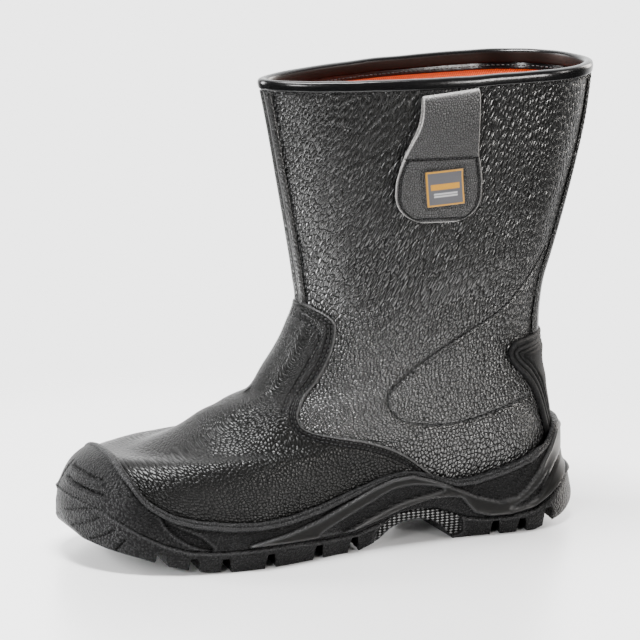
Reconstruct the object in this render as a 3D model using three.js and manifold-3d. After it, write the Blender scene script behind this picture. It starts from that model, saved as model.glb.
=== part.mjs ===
// Rigger boot, left foot: a pull-on work boot with a moulded sole
// Millimetres, +Z up, toe towards -X, lateral (outer) side towards -Y
// The origin is on the floor, under the middle of the heel's flat tread

import * as THREE from 'three';
import { mergeVertices } from 'three/addons/utils/BufferGeometryUtils.js';
import Module from 'manifold-3d';

const wasm = await Module();
wasm.setup();

// Driving dimensions of the whole boot
const SOLE_LENGTH = 304;
const BALL_WIDTH = 96;
const INSTEP_HEIGHT = 133;
const COLLAR_HEIGHT = 262;
const COLLAR_LENGTH = 200;
const COLLAR_WIDTH = 89;

// The sole: seats are the heights of the foot bed over the floor
const SOLE_WIDTH = 106;
const HEEL_SEAT = 28;
const BALL_SEAT = 17;
const TOE_SPRING = 19.5;
const TOE_SWING = 9;
const RUBBER_WRAP = 4.5;
const HEEL_CUP_WRAP = 7;
const HEEL_FLARE = 3.4;
const BAND_RISE = 1.6;
const LUG_DEPTH = 8;
const GROOVE_WIDTH = 6.5;
const CENTRE_RIB_WIDTH = 26;
const HEEL_REST_SHARE = 0.335;

// Walls and clearances
const UPPER_WALL = 2.4;
const VAMP_THICKNESS = 1.8;
const GUARD_THICKNESS = 2.6;
const STAY_THICKNESS = 1.2;
const INSOLE_THICKNESS = 4;
const GAP = 0.3;

// Trim
const PIPING_WIDTH = 12;
const PIPING_THICKNESS = 1;
const STAY_WIDTH = 46;
const BINDING_HEIGHT = 4.6;
const BINDING_THICKNESS = 1.3;
const BINDING_INSIDE_HEIGHT = 6;
const LOOP_STRAP_WIDTH = 36;
const LOOP_TAB_WIDTH = 49;
const LOOP_HEIGHT = 72;
const LOOP_SPLIT_HEIGHT = 37;
const LOOP_DROP = 8;
const LOOP_LEATHER = 1.8;
const LOOP_OPENING = 2.2;
const LABEL_WIDTH = 21.5;
const LABEL_HEIGHT = 20;
const LABEL_THICKNESS = 0.8;

// How finely the forms are faceted
const COLUMNS = 40;
const FOOT_STEP = 0.625;
const SHAFT_STEP = 1;
const EDGE_STEPS = 22;

const THROAT_X = -0.061 * SOLE_LENGTH;
const SHAFT_RISE = COLLAR_HEIGHT - INSTEP_HEIGHT;
const HEEL_REST_X = HEEL_REST_SHARE * SOLE_LENGTH;

function table(names, rows) {
  return rows.map((row) => Object.fromEntries(names.map((name, i) => [name, row[i]])));
}

// Sections of the last, each in a tilted plane from its front to its back
// Foot sections: lengths are shares of SOLE_LENGTH, heights of INSTEP_HEIGHT, half widths of BALL_WIDTH
// The half widths are given at the five stations below, from toe to heel
const SECTION_COLUMNS = ['name', 'frontX', 'frontZ', 'backX', 'backZ', 'frontRound', 'backRound',
  'lateral', 'medial'];
const FOOT_SECTIONS = table(SECTION_COLUMNS, [
  ['feather', -0.467, 0.256, 0.451, 0.211, 0.204, 0.151,
    [0.458, 0.495, 0.385, 0.365, 0.365], [0.458, 0.464, 0.302, 0.323, 0.354]],
  ['welt', -0.475, 0.316, 0.452, 0.278, 0.197, 0.151,
    [0.464, 0.505, 0.396, 0.375, 0.380], [0.453, 0.474, 0.323, 0.344, 0.370]],
  ['toe low', -0.467, 0.375, 0.456, 0.353, 0.184, 0.151,
    [0.438, 0.505, 0.406, 0.385, 0.391], [0.427, 0.464, 0.344, 0.354, 0.375]],
  ['toe top', -0.434, 0.425, 0.453, 0.436, 0.178, 0.151,
    [0.365, 0.469, 0.417, 0.396, 0.391], [0.344, 0.432, 0.365, 0.370, 0.380]],
  ['toe flat', -0.366, 0.434, 0.447, 0.519, 0.164, 0.148,
    [0.271, 0.401, 0.417, 0.396, 0.385], [0.219, 0.359, 0.385, 0.375, 0.375]],
  ['vamp low', -0.290, 0.496, 0.440, 0.602, 0.164, 0.145,
    [0.198, 0.318, 0.401, 0.396, 0.370], [0.125, 0.266, 0.375, 0.375, 0.365]],
  ['vamp mid', -0.213, 0.586, 0.433, 0.692, 0.164, 0.141,
    [0.115, 0.234, 0.375, 0.391, 0.354], [0.073, 0.182, 0.354, 0.375, 0.349]],
  ['crease', -0.144, 0.645, 0.429, 0.782, 0.158, 0.138,
    [0.073, 0.177, 0.354, 0.385, 0.344], [0.052, 0.135, 0.339, 0.375, 0.339]],
  ['instep low', -0.106, 0.756, 0.428, 0.872, 0.151, 0.138,
    [0.062, 0.146, 0.333, 0.385, 0.339], [0.062, 0.146, 0.333, 0.380, 0.339]],
  ['instep', -0.073, 0.872, 0.429, 0.962, 0.148, 0.138,
    [0.062, 0.146, 0.323, 0.391, 0.344], [0.062, 0.146, 0.323, 0.385, 0.344]],
  ['throat', -0.050, 1.000, 0.435, 1.068, 0.151, 0.141,
    [0.062, 0.167, 0.323, 0.396, 0.354], [0.062, 0.167, 0.323, 0.396, 0.354]],
]);

// Shaft sections: lengths are shares of COLLAR_LENGTH from the throat, heights of SHAFT_RISE over the
// instep, half widths of COLLAR_WIDTH
const SHAFT_SECTIONS = table(SECTION_COLUMNS, [
  ['ankle', 0.008, 0.132, 0.776, 0.186, 0.260, 0.230,
    [0.090, 0.202, 0.348, 0.438, 0.399], [0.090, 0.202, 0.348, 0.438, 0.399]],
  ['shin', -0.015, 0.326, 0.806, 0.357, 0.310, 0.240,
    [0.112, 0.225, 0.360, 0.449, 0.421], [0.112, 0.225, 0.360, 0.449, 0.427]],
  ['calf low', -0.043, 0.543, 0.839, 0.566, 0.360, 0.250,
    [0.112, 0.247, 0.371, 0.461, 0.444], [0.112, 0.247, 0.371, 0.466, 0.461]],
  ['calf', -0.073, 0.775, 0.867, 0.786, 0.420, 0.250,
    [0.135, 0.270, 0.393, 0.466, 0.461], [0.135, 0.270, 0.393, 0.483, 0.483]],
  ['collar', -0.101, 0.972, 0.881, 1.011, 0.480, 0.240,
    [0.135, 0.292, 0.416, 0.472, 0.472], [0.135, 0.292, 0.416, 0.506, 0.528]],
]);
const STATIONS = [-0.378, -0.181, 0.033, 0.197, 0.355].map((share) => share * SOLE_LENGTH);

// The sole's outline, as one more section: lengths of SOLE_LENGTH, half widths of SOLE_WIDTH
const SOLE_SECTION = {
  frontX: -0.5,
  backX: 0.5,
  frontRound: 0.204,
  backRound: 0.151,
  lateral: [0.475, 0.505, 0.385, 0.355, 0.375],
  medial: [0.475, 0.465, 0.290, 0.310, 0.365],
};

// Side-view curves of the sole: x as a share of SOLE_LENGTH, z as a share of HEEL_SEAT
const SIDE_COLUMNS = ['x', 'z'];
const RUBBER_EDGE = table(SIDE_COLUMNS, [
  [-0.600, 2.68], [-0.434, 2.68], [-0.428, 2.20], [-0.414, 1.84], [-0.385, 1.43], [-0.345, 1.16],
  [-0.303, 1.03], [-0.247, 0.93], [-0.191, 0.89], [-0.135, 0.93], [-0.066, 1.07], [0.000, 1.27],
  [0.059, 1.45], [0.102, 1.53], [0.138, 1.49], [0.178, 1.34], [0.217, 1.22], [0.257, 1.24],
  [0.309, 1.37], [0.368, 1.56], [0.408, 1.77], [0.431, 2.04], [0.470, 2.09], [0.600, 2.09],
]);
const SPLIT_LINE = table(SIDE_COLUMNS, [
  [-0.560, 1.50], [-0.500, 1.39], [-0.461, 1.23], [-0.408, 0.86], [-0.365, 0.63], [-0.322, 0.50],
  [-0.276, 0.45], [-0.135, 0.44], [-0.046, 0.38], [0.013, 0.39], [0.062, 0.53], [0.099, 0.66],
  [0.138, 0.71], [0.178, 0.68], [0.211, 0.55], [0.243, 0.43], [0.289, 0.37], [0.329, 0.37],
  [0.382, 0.46], [0.418, 0.64], [0.461, 0.86], [0.503, 1.07], [0.560, 1.30],
]);
const TREAD_LINE = table(SIDE_COLUMNS, [
  [-0.560, 1.35], [-0.501, 1.08], [-0.497, 0.78], [-0.480, 0.57], [-0.454, 0.47], [-0.421, 0.38],
  [-0.405, 0.34], [-0.355, 0.17], [-0.306, 0.06], [-0.247, 0.00], [0.020, 0.00], [0.062, 0.16],
  [0.086, 0.36], [0.112, 0.47], [0.141, 0.50], [0.171, 0.44], [0.197, 0.28], [0.217, 0.00],
  [0.385, 0.00], [0.418, 0.12], [0.451, 0.20], [0.493, 0.42], [0.513, 0.75], [0.560, 1.15],
]);

// The smooth wave band that stands out of the sole's side
const BAND_TOP = table(SIDE_COLUMNS, [
  [-0.214, 0.52], [-0.135, 0.66], [-0.069, 0.84], [-0.007, 1.09], [0.043, 1.30], [0.082, 1.43],
  [0.122, 1.46], [0.164, 1.32], [0.211, 1.11], [0.257, 0.88], [0.306, 0.72], [0.339, 0.77],
  [0.359, 0.92], [0.391, 1.24], [0.418, 1.62], [0.440, 1.98], [0.560, 2.03],
]);
const BAND_BOTTOM = table(SIDE_COLUMNS, [
  [-0.214, 0.48], [-0.102, 0.46], [0.000, 0.46], [0.062, 0.62], [0.105, 0.77], [0.164, 0.92],
  [0.201, 0.92], [0.227, 0.88], [0.240, 0.71], [0.257, 0.52], [0.289, 0.42], [0.329, 0.42],
  [0.382, 0.52], [0.418, 0.70], [0.461, 0.92], [0.560, 1.10],
]);

// Side-view curves of the upper: x as a share of SOLE_LENGTH, z as a share of INSTEP_HEIGHT
const VAMP_EDGE = table(SIDE_COLUMNS, [
  [-0.048, 1.023], [-0.030, 1.000], [-0.013, 0.970], [-0.007, 0.932], [-0.018, 0.827], [-0.046, 0.711],
  [-0.081, 0.620], [-0.092, 0.575], [-0.082, 0.530], [-0.033, 0.500], [0.033, 0.470], [0.099, 0.410],
  [0.158, 0.314], [0.197, 0.226],
]);
const GUARD_EDGE = table(SIDE_COLUMNS, [
  [0.411, 0.846], [0.355, 0.835], [0.331, 0.810], [0.324, 0.771], [0.339, 0.718], [0.365, 0.662],
  [0.385, 0.605], [0.398, 0.545], [0.411, 0.466], [0.423, 0.398], [0.431, 0.331],
]);

// Tread grooves: x as a share of SOLE_LENGTH
const GROOVES = [-0.295, -0.237, -0.150, -0.050, 0.025, 0.317, 0.372];

// Pull loops: shares of COLLAR_LENGTH from the throat
const LOOP_STRAP_CENTRE = 0.358;
const LOOP_TAB_CENTRE = 0.345;

// Curves through table values

function catmull(values, t) {
  const last = values.length - 1;
  const i = Math.min(Math.max(Math.floor(t), 0), last - 1);
  const u = t - i;
  const p1 = values[i];
  const p2 = values[i + 1];
  const p0 = i > 0 ? values[i - 1] : 2 * p1 - p2;
  const p3 = i < last - 1 ? values[i + 2] : 2 * p2 - p1;
  return 0.5 * (2 * p1 + (p2 - p0) * u + (2 * p0 - 5 * p1 + 4 * p2 - p3) * u * u
    + (3 * p1 - p0 - 3 * p2 + p3) * u * u * u);
}

function stationIndex(x) {
  let i = 0;
  while (i < STATIONS.length - 2 && x > STATIONS[i + 1]) i += 1;
  const u = (x - STATIONS[i]) / (STATIONS[i + 1] - STATIONS[i]);
  return Math.min(Math.max(i + u, 0), STATIONS.length - 1);
}

function linear(rows, x) {
  let i = 0;
  while (i < rows.length - 2 && x > rows[i + 1].x * SOLE_LENGTH) i += 1;
  const x0 = rows[i].x * SOLE_LENGTH;
  const x1 = rows[i + 1].x * SOLE_LENGTH;
  const u = Math.min(Math.max((x - x0) / (x1 - x0), 0), 1);
  return rows[i].z + (rows[i + 1].z - rows[i].z) * u;
}

function smooth(u) {
  const v = Math.min(Math.max(u, 0), 1);
  return v * v * (3 - 2 * v);
}

// The round closing of a section at its front and back ends
function closing(distance, length) {
  const k = Math.min(Math.max(1 - distance / length, 0), 1);
  return Math.sqrt(Math.max(0, 1 - k ** 2.2));
}

// The toe swings to the medial side, most of all low down
function toeSwing(x, z) {
  const forward = Math.min(Math.max((-0.197 * SOLE_LENGTH - x) / (0.296 * SOLE_LENGTH), 0), 1);
  const low = Math.min(Math.max(1 - (z - BALL_SEAT) / (0.5 * INSTEP_HEIGHT), 0.4), 1);
  return TOE_SWING * forward * forward * low;
}

// Height of the foot bed over the floor
function seatHeight(x) {
  const ball = STATIONS[1];
  if (x < ball) {
    return BALL_SEAT + TOE_SPRING * ((ball - x) / (0.286 * SOLE_LENGTH)) ** 2;
  }
  return BALL_SEAT + (HEEL_SEAT - BALL_SEAT) * smooth((x - ball) / (0.43 * SOLE_LENGTH));
}

// The last's sections in millimetres
const SECTIONS = [
  ...FOOT_SECTIONS.map((row) => ({
    frontX: row.frontX * SOLE_LENGTH,
    backX: row.backX * SOLE_LENGTH,
    frontZ: row.frontZ * INSTEP_HEIGHT,
    backZ: row.backZ * INSTEP_HEIGHT,
    frontRound: row.frontRound * SOLE_LENGTH,
    backRound: row.backRound * SOLE_LENGTH,
    lateral: row.lateral.map((share) => share * BALL_WIDTH),
    medial: row.medial.map((share) => share * BALL_WIDTH),
  })),
  ...SHAFT_SECTIONS.map((row) => ({
    frontX: THROAT_X + row.frontX * COLLAR_LENGTH,
    backX: THROAT_X + row.backX * COLLAR_LENGTH,
    frontZ: INSTEP_HEIGHT + row.frontZ * SHAFT_RISE,
    backZ: INSTEP_HEIGHT + row.backZ * SHAFT_RISE,
    frontRound: row.frontRound * COLLAR_LENGTH,
    backRound: row.backRound * COLLAR_LENGTH,
    lateral: row.lateral.map((share) => share * COLLAR_WIDTH),
    medial: row.medial.map((share) => share * COLLAR_WIDTH),
  })),
];
const TOP = SECTIONS.length - 1;

function sectionAt(t) {
  const value = (name) => catmull(SECTIONS.map((row) => row[name]), t);
  const widths = (name) => STATIONS.map((_, i) => catmull(SECTIONS.map((row) => row[name][i]), t));
  return {
    frontX: value('frontX'),
    frontZ: value('frontZ'),
    backX: value('backX'),
    backZ: value('backZ'),
    frontRound: value('frontRound'),
    backRound: value('backRound'),
    lateral: widths('lateral'),
    medial: widths('medial'),
  };
}

const sectionCache = new Map();

function cachedSection(t) {
  if (!sectionCache.has(t)) sectionCache.set(t, sectionAt(t));
  return sectionCache.get(t);
}

// Half width of a section at x, on the lateral or the medial side
function sideY(section, x, angle) {
  const lateral = Math.sin(angle) >= 0;
  const widths = lateral ? section.lateral : section.medial;
  const width = catmull(widths, stationIndex(x));
  const front = closing(x - section.frontX, section.frontRound);
  const back = closing(section.backX - x, section.backRound);
  return (lateral ? -1 : 1) * width * front * back;
}

// A point of the last: t counts sections upwards, the angle runs from the front over the lateral side
function lastPoint(t, angle) {
  const section = cachedSection(t);
  const along = (1 - Math.cos(angle)) / 2;
  const x = section.frontX + (section.backX - section.frontX) * along;
  const plane = section.frontZ + (section.backZ - section.frontZ) * along;
  const feather = SECTIONS[0].frontZ + (SECTIONS[0].backZ - SECTIONS[0].frontZ) * along;
  const sag = t < 2 ? (1 - t / 2) ** 2 * (seatHeight(x) - feather) : 0;
  const z = plane + sag;
  return new THREE.Vector3(x, sideY(section, x, angle) + toeSwing(x, z), z);
}

function lastNormal(t, angle) {
  const step = 0.02;
  const low = lastPoint(Math.max(t - step, 0), angle);
  const high = lastPoint(Math.min(t + step, TOP), angle);
  const before = lastPoint(t, angle - step);
  const after = lastPoint(t, angle + step);
  const normal = high.sub(low).cross(after.sub(before)).negate();
  if (t <= 0 || t >= TOP) normal.z = 0;
  return normal.normalize();
}

// A point at a distance outside the last
function formPoint(t, angle, offset) {
  return lastPoint(t, angle).addScaledVector(lastNormal(t, angle), offset);
}

// The point of the side wall at a given x and z, at a distance outside it
function wallPoint(x, z, side, offset) {
  let low = 0;
  let high = TOP + 1;
  let along = 0;
  for (let i = 0; i < 24; i += 1) {
    const middle = (low + high) / 2;
    const section = sectionAt(Math.min(middle, TOP));
    along = Math.min(Math.max((x - section.frontX) / (section.backX - section.frontX), 0.001), 0.999);
    const height = section.frontZ + (section.backZ - section.frontZ) * along;
    if (height < z) low = middle;
    else high = middle;
  }
  const angle = Math.acos(1 - 2 * along);
  return formPoint(Math.min(low, TOP), side < 0 ? angle : 2 * Math.PI - angle, offset);
}

// Closed meshes and solids

function solidOf(geometry) {
  const bare = geometry.clone();
  bare.deleteAttribute('normal');
  bare.deleteAttribute('uv');
  const merged = mergeVertices(bare, 1e-5);
  const vertProperties = new Float32Array(merged.attributes.position.array);
  const triVerts = new Uint32Array(merged.index.array);
  return new wasm.Manifold(new wasm.Mesh({ numProp: 3, vertProperties, triVerts }));
}

function solidOfFaces(points, faces) {
  let volume = 0;
  for (const [a, b, c] of faces) {
    volume += points[a].dot(points[b].clone().cross(points[c]));
  }
  const turned = volume < 0 ? faces.map(([a, b, c]) => [a, c, b]) : faces;
  const geometry = new THREE.BufferGeometry().setFromPoints(points);
  geometry.setIndex(turned.flat());
  return solidOf(geometry);
}

function gridFaces(rings, columns, closedRings) {
  const faces = [];
  for (let r = 0; r < (closedRings ? rings : rings - 1); r += 1) {
    for (let c = 0; c < columns; c += 1) {
      const a = r * columns + c;
      const b = r * columns + (c + 1) % columns;
      const d = ((r + 1) % rings) * columns + c;
      const e = ((r + 1) % rings) * columns + (c + 1) % columns;
      faces.push([a, b, e], [a, e, d]);
    }
  }
  return faces;
}

// Strips that close a ring from its lateral to its medial side
function capFaces(start, columns, turn) {
  const faces = [];
  const half = columns / 2;
  const push = (a, b, c) => faces.push(turn ? [a, c, b] : [a, b, c]);
  for (let c = 0; c < half; c += 1) {
    const left = start + c;
    const nextLeft = start + c + 1;
    const right = start + (columns - c) % columns;
    const nextRight = start + columns - c - 1;
    if (c > 0) push(left, nextLeft, right);
    if (c < half - 1) push(nextLeft, nextRight, right);
  }
  return faces;
}

function closedStack(rings) {
  const columns = rings[0].length;
  const faces = gridFaces(rings.length, columns, false);
  faces.push(...capFaces(0, columns, true));
  faces.push(...capFaces((rings.length - 1) * columns, columns, false));
  return solidOfFaces(rings.flat(), faces);
}

function ringTube(rings) {
  return solidOfFaces(rings.flat(), gridFaces(rings.length, rings[0].length, true));
}

const ANGLES = Array.from({ length: COLUMNS }, (_, i) => (2 * Math.PI * i) / COLUMNS);
const LEVELS = [];
for (let t = 0; t < FOOT_SECTIONS.length - 1; t += FOOT_STEP) LEVELS.push(t);
for (let t = FOOT_SECTIONS.length - 1; t <= TOP; t += SHAFT_STEP) LEVELS.push(t);

function formRings(offset) {
  return LEVELS.map((t) => ANGLES.map((angle) => formPoint(t, angle, offset)));
}

// The solid inside a form, with its ends pushed out by given lengths
function formSolid(offset, below = 0, above = 0) {
  const rings = formRings(offset);
  const lift = (ring, rise) => ring.map((p) => new THREE.Vector3(p.x, p.y, p.z + rise));
  if (below > 0) rings.unshift(lift(rings[0], -below));
  if (above > 0) rings.push(lift(rings[rings.length - 1], above));
  return closedStack(rings);
}

// A prism across the boot, from a side-view outline
function sidePrism(points, from = -200, to = 200) {
  const shape = new THREE.Shape(points.map(([x, z]) => new THREE.Vector2(x, z)));
  const geometry = new THREE.ExtrudeGeometry(shape, { depth: to - from, bevelEnabled: false });
  geometry.rotateX(Math.PI / 2);
  geometry.translate(0, to, 0);
  return solidOf(geometry);
}

function curvePoints(rows, height, steps = EDGE_STEPS) {
  const knots = rows.map((row) => new THREE.Vector2(row.x * SOLE_LENGTH, row.z * height));
  const curve = new THREE.SplineCurve(knots);
  return curve.getPoints(steps).map((p) => [p.x, p.y]);
}

function linePoints(rows, height, lift = 0) {
  return rows.map((row) => [row.x * SOLE_LENGTH, row.z * height + lift]);
}

function movedPoints(points, dx, dz) {
  return points.map(([x, z]) => [x + dx, z + dz]);
}

const FAR = SOLE_LENGTH;

// The upper: one hollow wall, open at the collar and underneath
function upperSolid() {
  const outer = formRings(0);
  const inner = formRings(-UPPER_WALL).reverse();
  return ringTube([...outer, ...inner]);
}

// The side-view region of the front panel, grown by a clearance
function vampRegion(clearance) {
  const edge = movedPoints(curvePoints(VAMP_EDGE, INSTEP_HEIGHT), clearance, clearance);
  const bottom = [edge[edge.length - 1][0], -FAR];
  return sidePrism([...edge, bottom, [-FAR, -FAR], [-FAR, edge[0][1]]]);
}

function vampSolid() {
  const leather = formSolid(GAP + VAMP_THICKNESS);
  const hollow = formSolid(GAP, 1, 1);
  return leather.subtract(hollow).intersect(vampRegion(0));
}

// The side-view region of the moulded heel guard, grown by a clearance
function guardRegion(clearance) {
  const edge = movedPoints(curvePoints(GUARD_EDGE, INSTEP_HEIGHT), -clearance, 0);
  const top = [FAR, edge[0][1] + clearance];
  const bottom = [FAR, edge[edge.length - 1][1] - clearance];
  edge[0][1] += clearance;
  edge[edge.length - 1][1] -= clearance;
  return sidePrism([...edge, bottom, top]);
}

function guardSolid() {
  const rubber = formSolid(GAP + GUARD_THICKNESS);
  const hollow = formSolid(GAP, 1, 1);
  return rubber.subtract(hollow).intersect(guardRegion(0));
}

// Height of the binding's lower edge at x, where the strips on the shaft stop
function stripTop(x) {
  const collar = SECTIONS[TOP];
  const along = Math.min(Math.max((x - collar.frontX) / (collar.backX - collar.frontX), 0), 1);
  return collar.frontZ + (collar.backZ - collar.frontZ) * along - BINDING_HEIGHT - 3 * GAP;
}

function stripRegion(fromX, toX, halfWidth, bottomZ) {
  const outline = [[fromX, bottomZ], [toX, bottomZ], [toX, stripTop(toX)], [fromX, stripTop(fromX)]];
  return sidePrism(outline, -halfWidth, halfWidth);
}

function pipingSolid() {
  const strip = formSolid(GAP + PIPING_THICKNESS);
  const hollow = formSolid(GAP, 1, 1);
  const bottom = VAMP_EDGE[0].z * INSTEP_HEIGHT + GAP;
  const region = stripRegion(-FAR, THROAT_X + 0.2 * COLLAR_LENGTH, PIPING_WIDTH / 2, bottom);
  return strip.subtract(hollow).intersect(region);
}

function staySolid() {
  const strip = formSolid(GAP + STAY_THICKNESS);
  const hollow = formSolid(GAP, 1, 1);
  const bottom = GUARD_EDGE[0].z * INSTEP_HEIGHT + GAP;
  const region = stripRegion(THROAT_X + 0.6 * COLLAR_LENGTH, FAR, STAY_WIDTH / 2, bottom);
  return strip.subtract(hollow).intersect(region);
}

// The binding folds over the top edge: offset from the upper's face and height from the collar
function bindingSolid() {
  const outside = GAP;
  const inside = -UPPER_WALL - GAP;
  const wall = BINDING_THICKNESS;
  const profile = [
    [outside, -BINDING_HEIGHT],
    [outside + wall, -BINDING_HEIGHT],
    [outside + wall, -0.2 * BINDING_HEIGHT],
    [outside + 0.4 * wall, GAP + wall],
    [inside - 0.4 * wall, GAP + wall],
    [inside - wall, -0.2 * BINDING_HEIGHT],
    [inside - wall, -BINDING_INSIDE_HEIGHT],
    [inside, -BINDING_INSIDE_HEIGHT],
    [inside, GAP],
    [outside, GAP],
  ];
  const lastRise = SECTIONS[TOP].backZ - SECTIONS[TOP - 1].backZ;
  const ring = ([offset, height]) => ANGLES.map((angle) => {
    const top = formPoint(TOP, angle, offset);
    if (height >= 0) return top.setZ(top.z + height);
    return top.lerp(formPoint(TOP - 1, angle, offset), -height / lastRise);
  });
  return ringTube(profile.map(ring));
}

// A pull loop: a leather strap folded on itself over a rounded tab
const LOOP_TOP_Z = COLLAR_HEIGHT - LOOP_DROP;
const LOOP_BOTTOM_Z = LOOP_TOP_Z - LOOP_HEIGHT;
const LOOP_SPLIT_Z = LOOP_TOP_Z - LOOP_SPLIT_HEIGHT;
const TAB_CENTRE_X = THROAT_X + LOOP_TAB_CENTRE * COLLAR_LENGTH;
const STRAP_CENTRE_X = THROAT_X + LOOP_STRAP_CENTRE * COLLAR_LENGTH;

function loopOutline() {
  const tab = LOOP_TAB_WIDTH / 2;
  const strap = LOOP_STRAP_WIDTH / 2;
  const rounding = 0.72 * tab;
  const shape = new THREE.Shape();
  shape.moveTo(STRAP_CENTRE_X + strap, LOOP_TOP_Z + 5);
  shape.lineTo(STRAP_CENTRE_X - strap, LOOP_TOP_Z + 5);
  shape.lineTo(STRAP_CENTRE_X - strap, LOOP_SPLIT_Z + 0.55 * LOOP_SPLIT_HEIGHT);
  shape.bezierCurveTo(STRAP_CENTRE_X - strap, LOOP_SPLIT_Z + 8, TAB_CENTRE_X - tab, LOOP_SPLIT_Z - 2,
    TAB_CENTRE_X - tab, LOOP_BOTTOM_Z + rounding);
  shape.bezierCurveTo(TAB_CENTRE_X - tab, LOOP_BOTTOM_Z + 0.3 * rounding, TAB_CENTRE_X - 0.5 * tab,
    LOOP_BOTTOM_Z, TAB_CENTRE_X, LOOP_BOTTOM_Z);
  shape.bezierCurveTo(TAB_CENTRE_X + 0.5 * tab, LOOP_BOTTOM_Z, TAB_CENTRE_X + tab,
    LOOP_BOTTOM_Z + 0.3 * rounding, TAB_CENTRE_X + tab, LOOP_BOTTOM_Z + rounding);
  shape.bezierCurveTo(TAB_CENTRE_X + tab, LOOP_SPLIT_Z - 8, STRAP_CENTRE_X + strap,
    LOOP_SPLIT_Z, STRAP_CENTRE_X + strap, LOOP_SPLIT_Z);
  return shape.getPoints(6).slice(0, -1).map((p) => [p.x, p.y]);
}

// Sweeps a closed profile of offsets and heights along the side wall
function wallSweep(profile, fromX, toX, side) {
  const steps = 7;
  const rings = [];
  for (let i = 0; i <= steps; i += 1) {
    const x = fromX + ((toX - fromX) * i) / steps;
    rings.push(profile.map(([offset, z]) => wallPoint(x, z, side, offset)));
  }
  const count = profile.length;
  const faces = gridFaces(rings.length, count, false);
  const flat = profile.map(([offset, z]) => new THREE.Vector2(offset, z));
  const cap = THREE.ShapeUtils.triangulateShape(flat, []);
  const end = (rings.length - 1) * count;
  const turned = THREE.ShapeUtils.isClockWise(flat);
  for (const [a, b, c] of cap) {
    faces.push(turned ? [a, b, c] : [a, c, b]);
    faces.push(turned ? [end + a, end + c, end + b] : [end + a, end + b, end + c]);
  }
  return solidOfFaces(rings.flat(), faces);
}

function loopSolid(side) {
  const back = GAP + LOOP_LEATHER;
  const front = back + LOOP_OPENING;
  const height = LOOP_SPLIT_HEIGHT;
  const outerProfile = [
    [GAP, LOOP_BOTTOM_Z - 1],
    [back, LOOP_BOTTOM_Z - 1],
    [back, LOOP_SPLIT_Z - 4],
    [back + 0.6 * LOOP_OPENING, LOOP_SPLIT_Z + 0.10 * height],
    [front + 0.5 * LOOP_LEATHER, LOOP_SPLIT_Z + 0.35 * height],
    [front + LOOP_LEATHER, LOOP_SPLIT_Z + 0.65 * height],
    [front + 0.9 * LOOP_LEATHER, LOOP_TOP_Z - 3],
    [front, LOOP_TOP_Z - 0.8],
    [back + 0.3 * LOOP_OPENING, LOOP_TOP_Z],
    [GAP + 0.5 * LOOP_LEATHER, LOOP_TOP_Z - 0.8],
    [GAP, LOOP_TOP_Z - 3],
    [GAP, LOOP_SPLIT_Z],
  ];
  const innerProfile = [
    [back, LOOP_SPLIT_Z + 0.22 * height],
    [back + 0.6 * LOOP_OPENING, LOOP_SPLIT_Z + 0.42 * height],
    [front, LOOP_SPLIT_Z + 0.68 * height],
    [front - 0.1 * LOOP_OPENING, LOOP_TOP_Z - 3.4],
    [back + 0.5 * LOOP_OPENING, LOOP_TOP_Z - LOOP_LEATHER],
    [back, LOOP_TOP_Z - 3.4],
  ];
  const reach = LOOP_TAB_WIDTH / 2 + 3;
  const band = wallSweep(outerProfile, TAB_CENTRE_X - reach, TAB_CENTRE_X + reach, side);
  const eye = wallSweep(innerProfile, TAB_CENTRE_X - reach - 2, TAB_CENTRE_X + reach + 2, side);
  return band.subtract(eye).intersect(sidePrism(loopOutline()));
}

function labelSolid() {
  const base = GAP + LOOP_LEATHER + GAP;
  const centreX = TAB_CENTRE_X + 0.05 * LOOP_TAB_WIDTH;
  const centreZ = LOOP_BOTTOM_Z + 0.27 * LOOP_HEIGHT;
  const low = centreZ - LABEL_HEIGHT / 2;
  const high = centreZ + LABEL_HEIGHT / 2;
  const profile = [[base, low], [base + LABEL_THICKNESS, low], [base + LABEL_THICKNESS, high], [base, high]];
  return wallSweep(profile, centreX - LABEL_WIDTH / 2, centreX + LABEL_WIDTH / 2, -1);
}

// The insole lies on the foot bed, clear of the upper's lining
function insoleSolid() {
  const inside = formSolid(-UPPER_WALL - GAP);
  const top = [];
  for (let i = 0; i <= 24; i += 1) {
    const x = (-0.5 + i / 24) * SOLE_LENGTH;
    top.push([x, seatHeight(x) + INSOLE_THICKNESS]);
  }
  return inside.intersect(sidePrism([...top, [0.5 * SOLE_LENGTH, -FAR], [-0.5 * SOLE_LENGTH, -FAR]]));
}

// How thick the rubber stands on the leather, from toe to heel cup
function wrapAt(x) {
  const back = smooth((x - 0.40 * SOLE_LENGTH) / (0.07 * SOLE_LENGTH));
  return RUBBER_WRAP + (HEEL_CUP_WRAP - RUBBER_WRAP) * back;
}

// A point on the sole's own outline, at a height and a distance outside it
// The flare lengthens the outline at the back of the heel
function outlinePoint(angle, z, offset, flare = 0) {
  const section = {
    frontX: SOLE_SECTION.frontX * SOLE_LENGTH,
    backX: SOLE_SECTION.backX * SOLE_LENGTH + flare,
    frontRound: SOLE_SECTION.frontRound * SOLE_LENGTH,
    backRound: SOLE_SECTION.backRound * SOLE_LENGTH,
    lateral: SOLE_SECTION.lateral.map((share) => share * SOLE_WIDTH),
    medial: SOLE_SECTION.medial.map((share) => share * SOLE_WIDTH),
  };
  const at = (a) => {
    const along = (1 - Math.cos(a)) / 2;
    const x = section.frontX + (section.backX - section.frontX) * along;
    return new THREE.Vector3(x, sideY(section, x, a) + toeSwing(x, BALL_SEAT), z);
  };
  const step = 0.02;
  const across = at(angle + step).sub(at(angle - step));
  const normal = new THREE.Vector3(across.y, -across.x, 0).normalize();
  return at(angle).addScaledVector(normal, offset);
}

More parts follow.
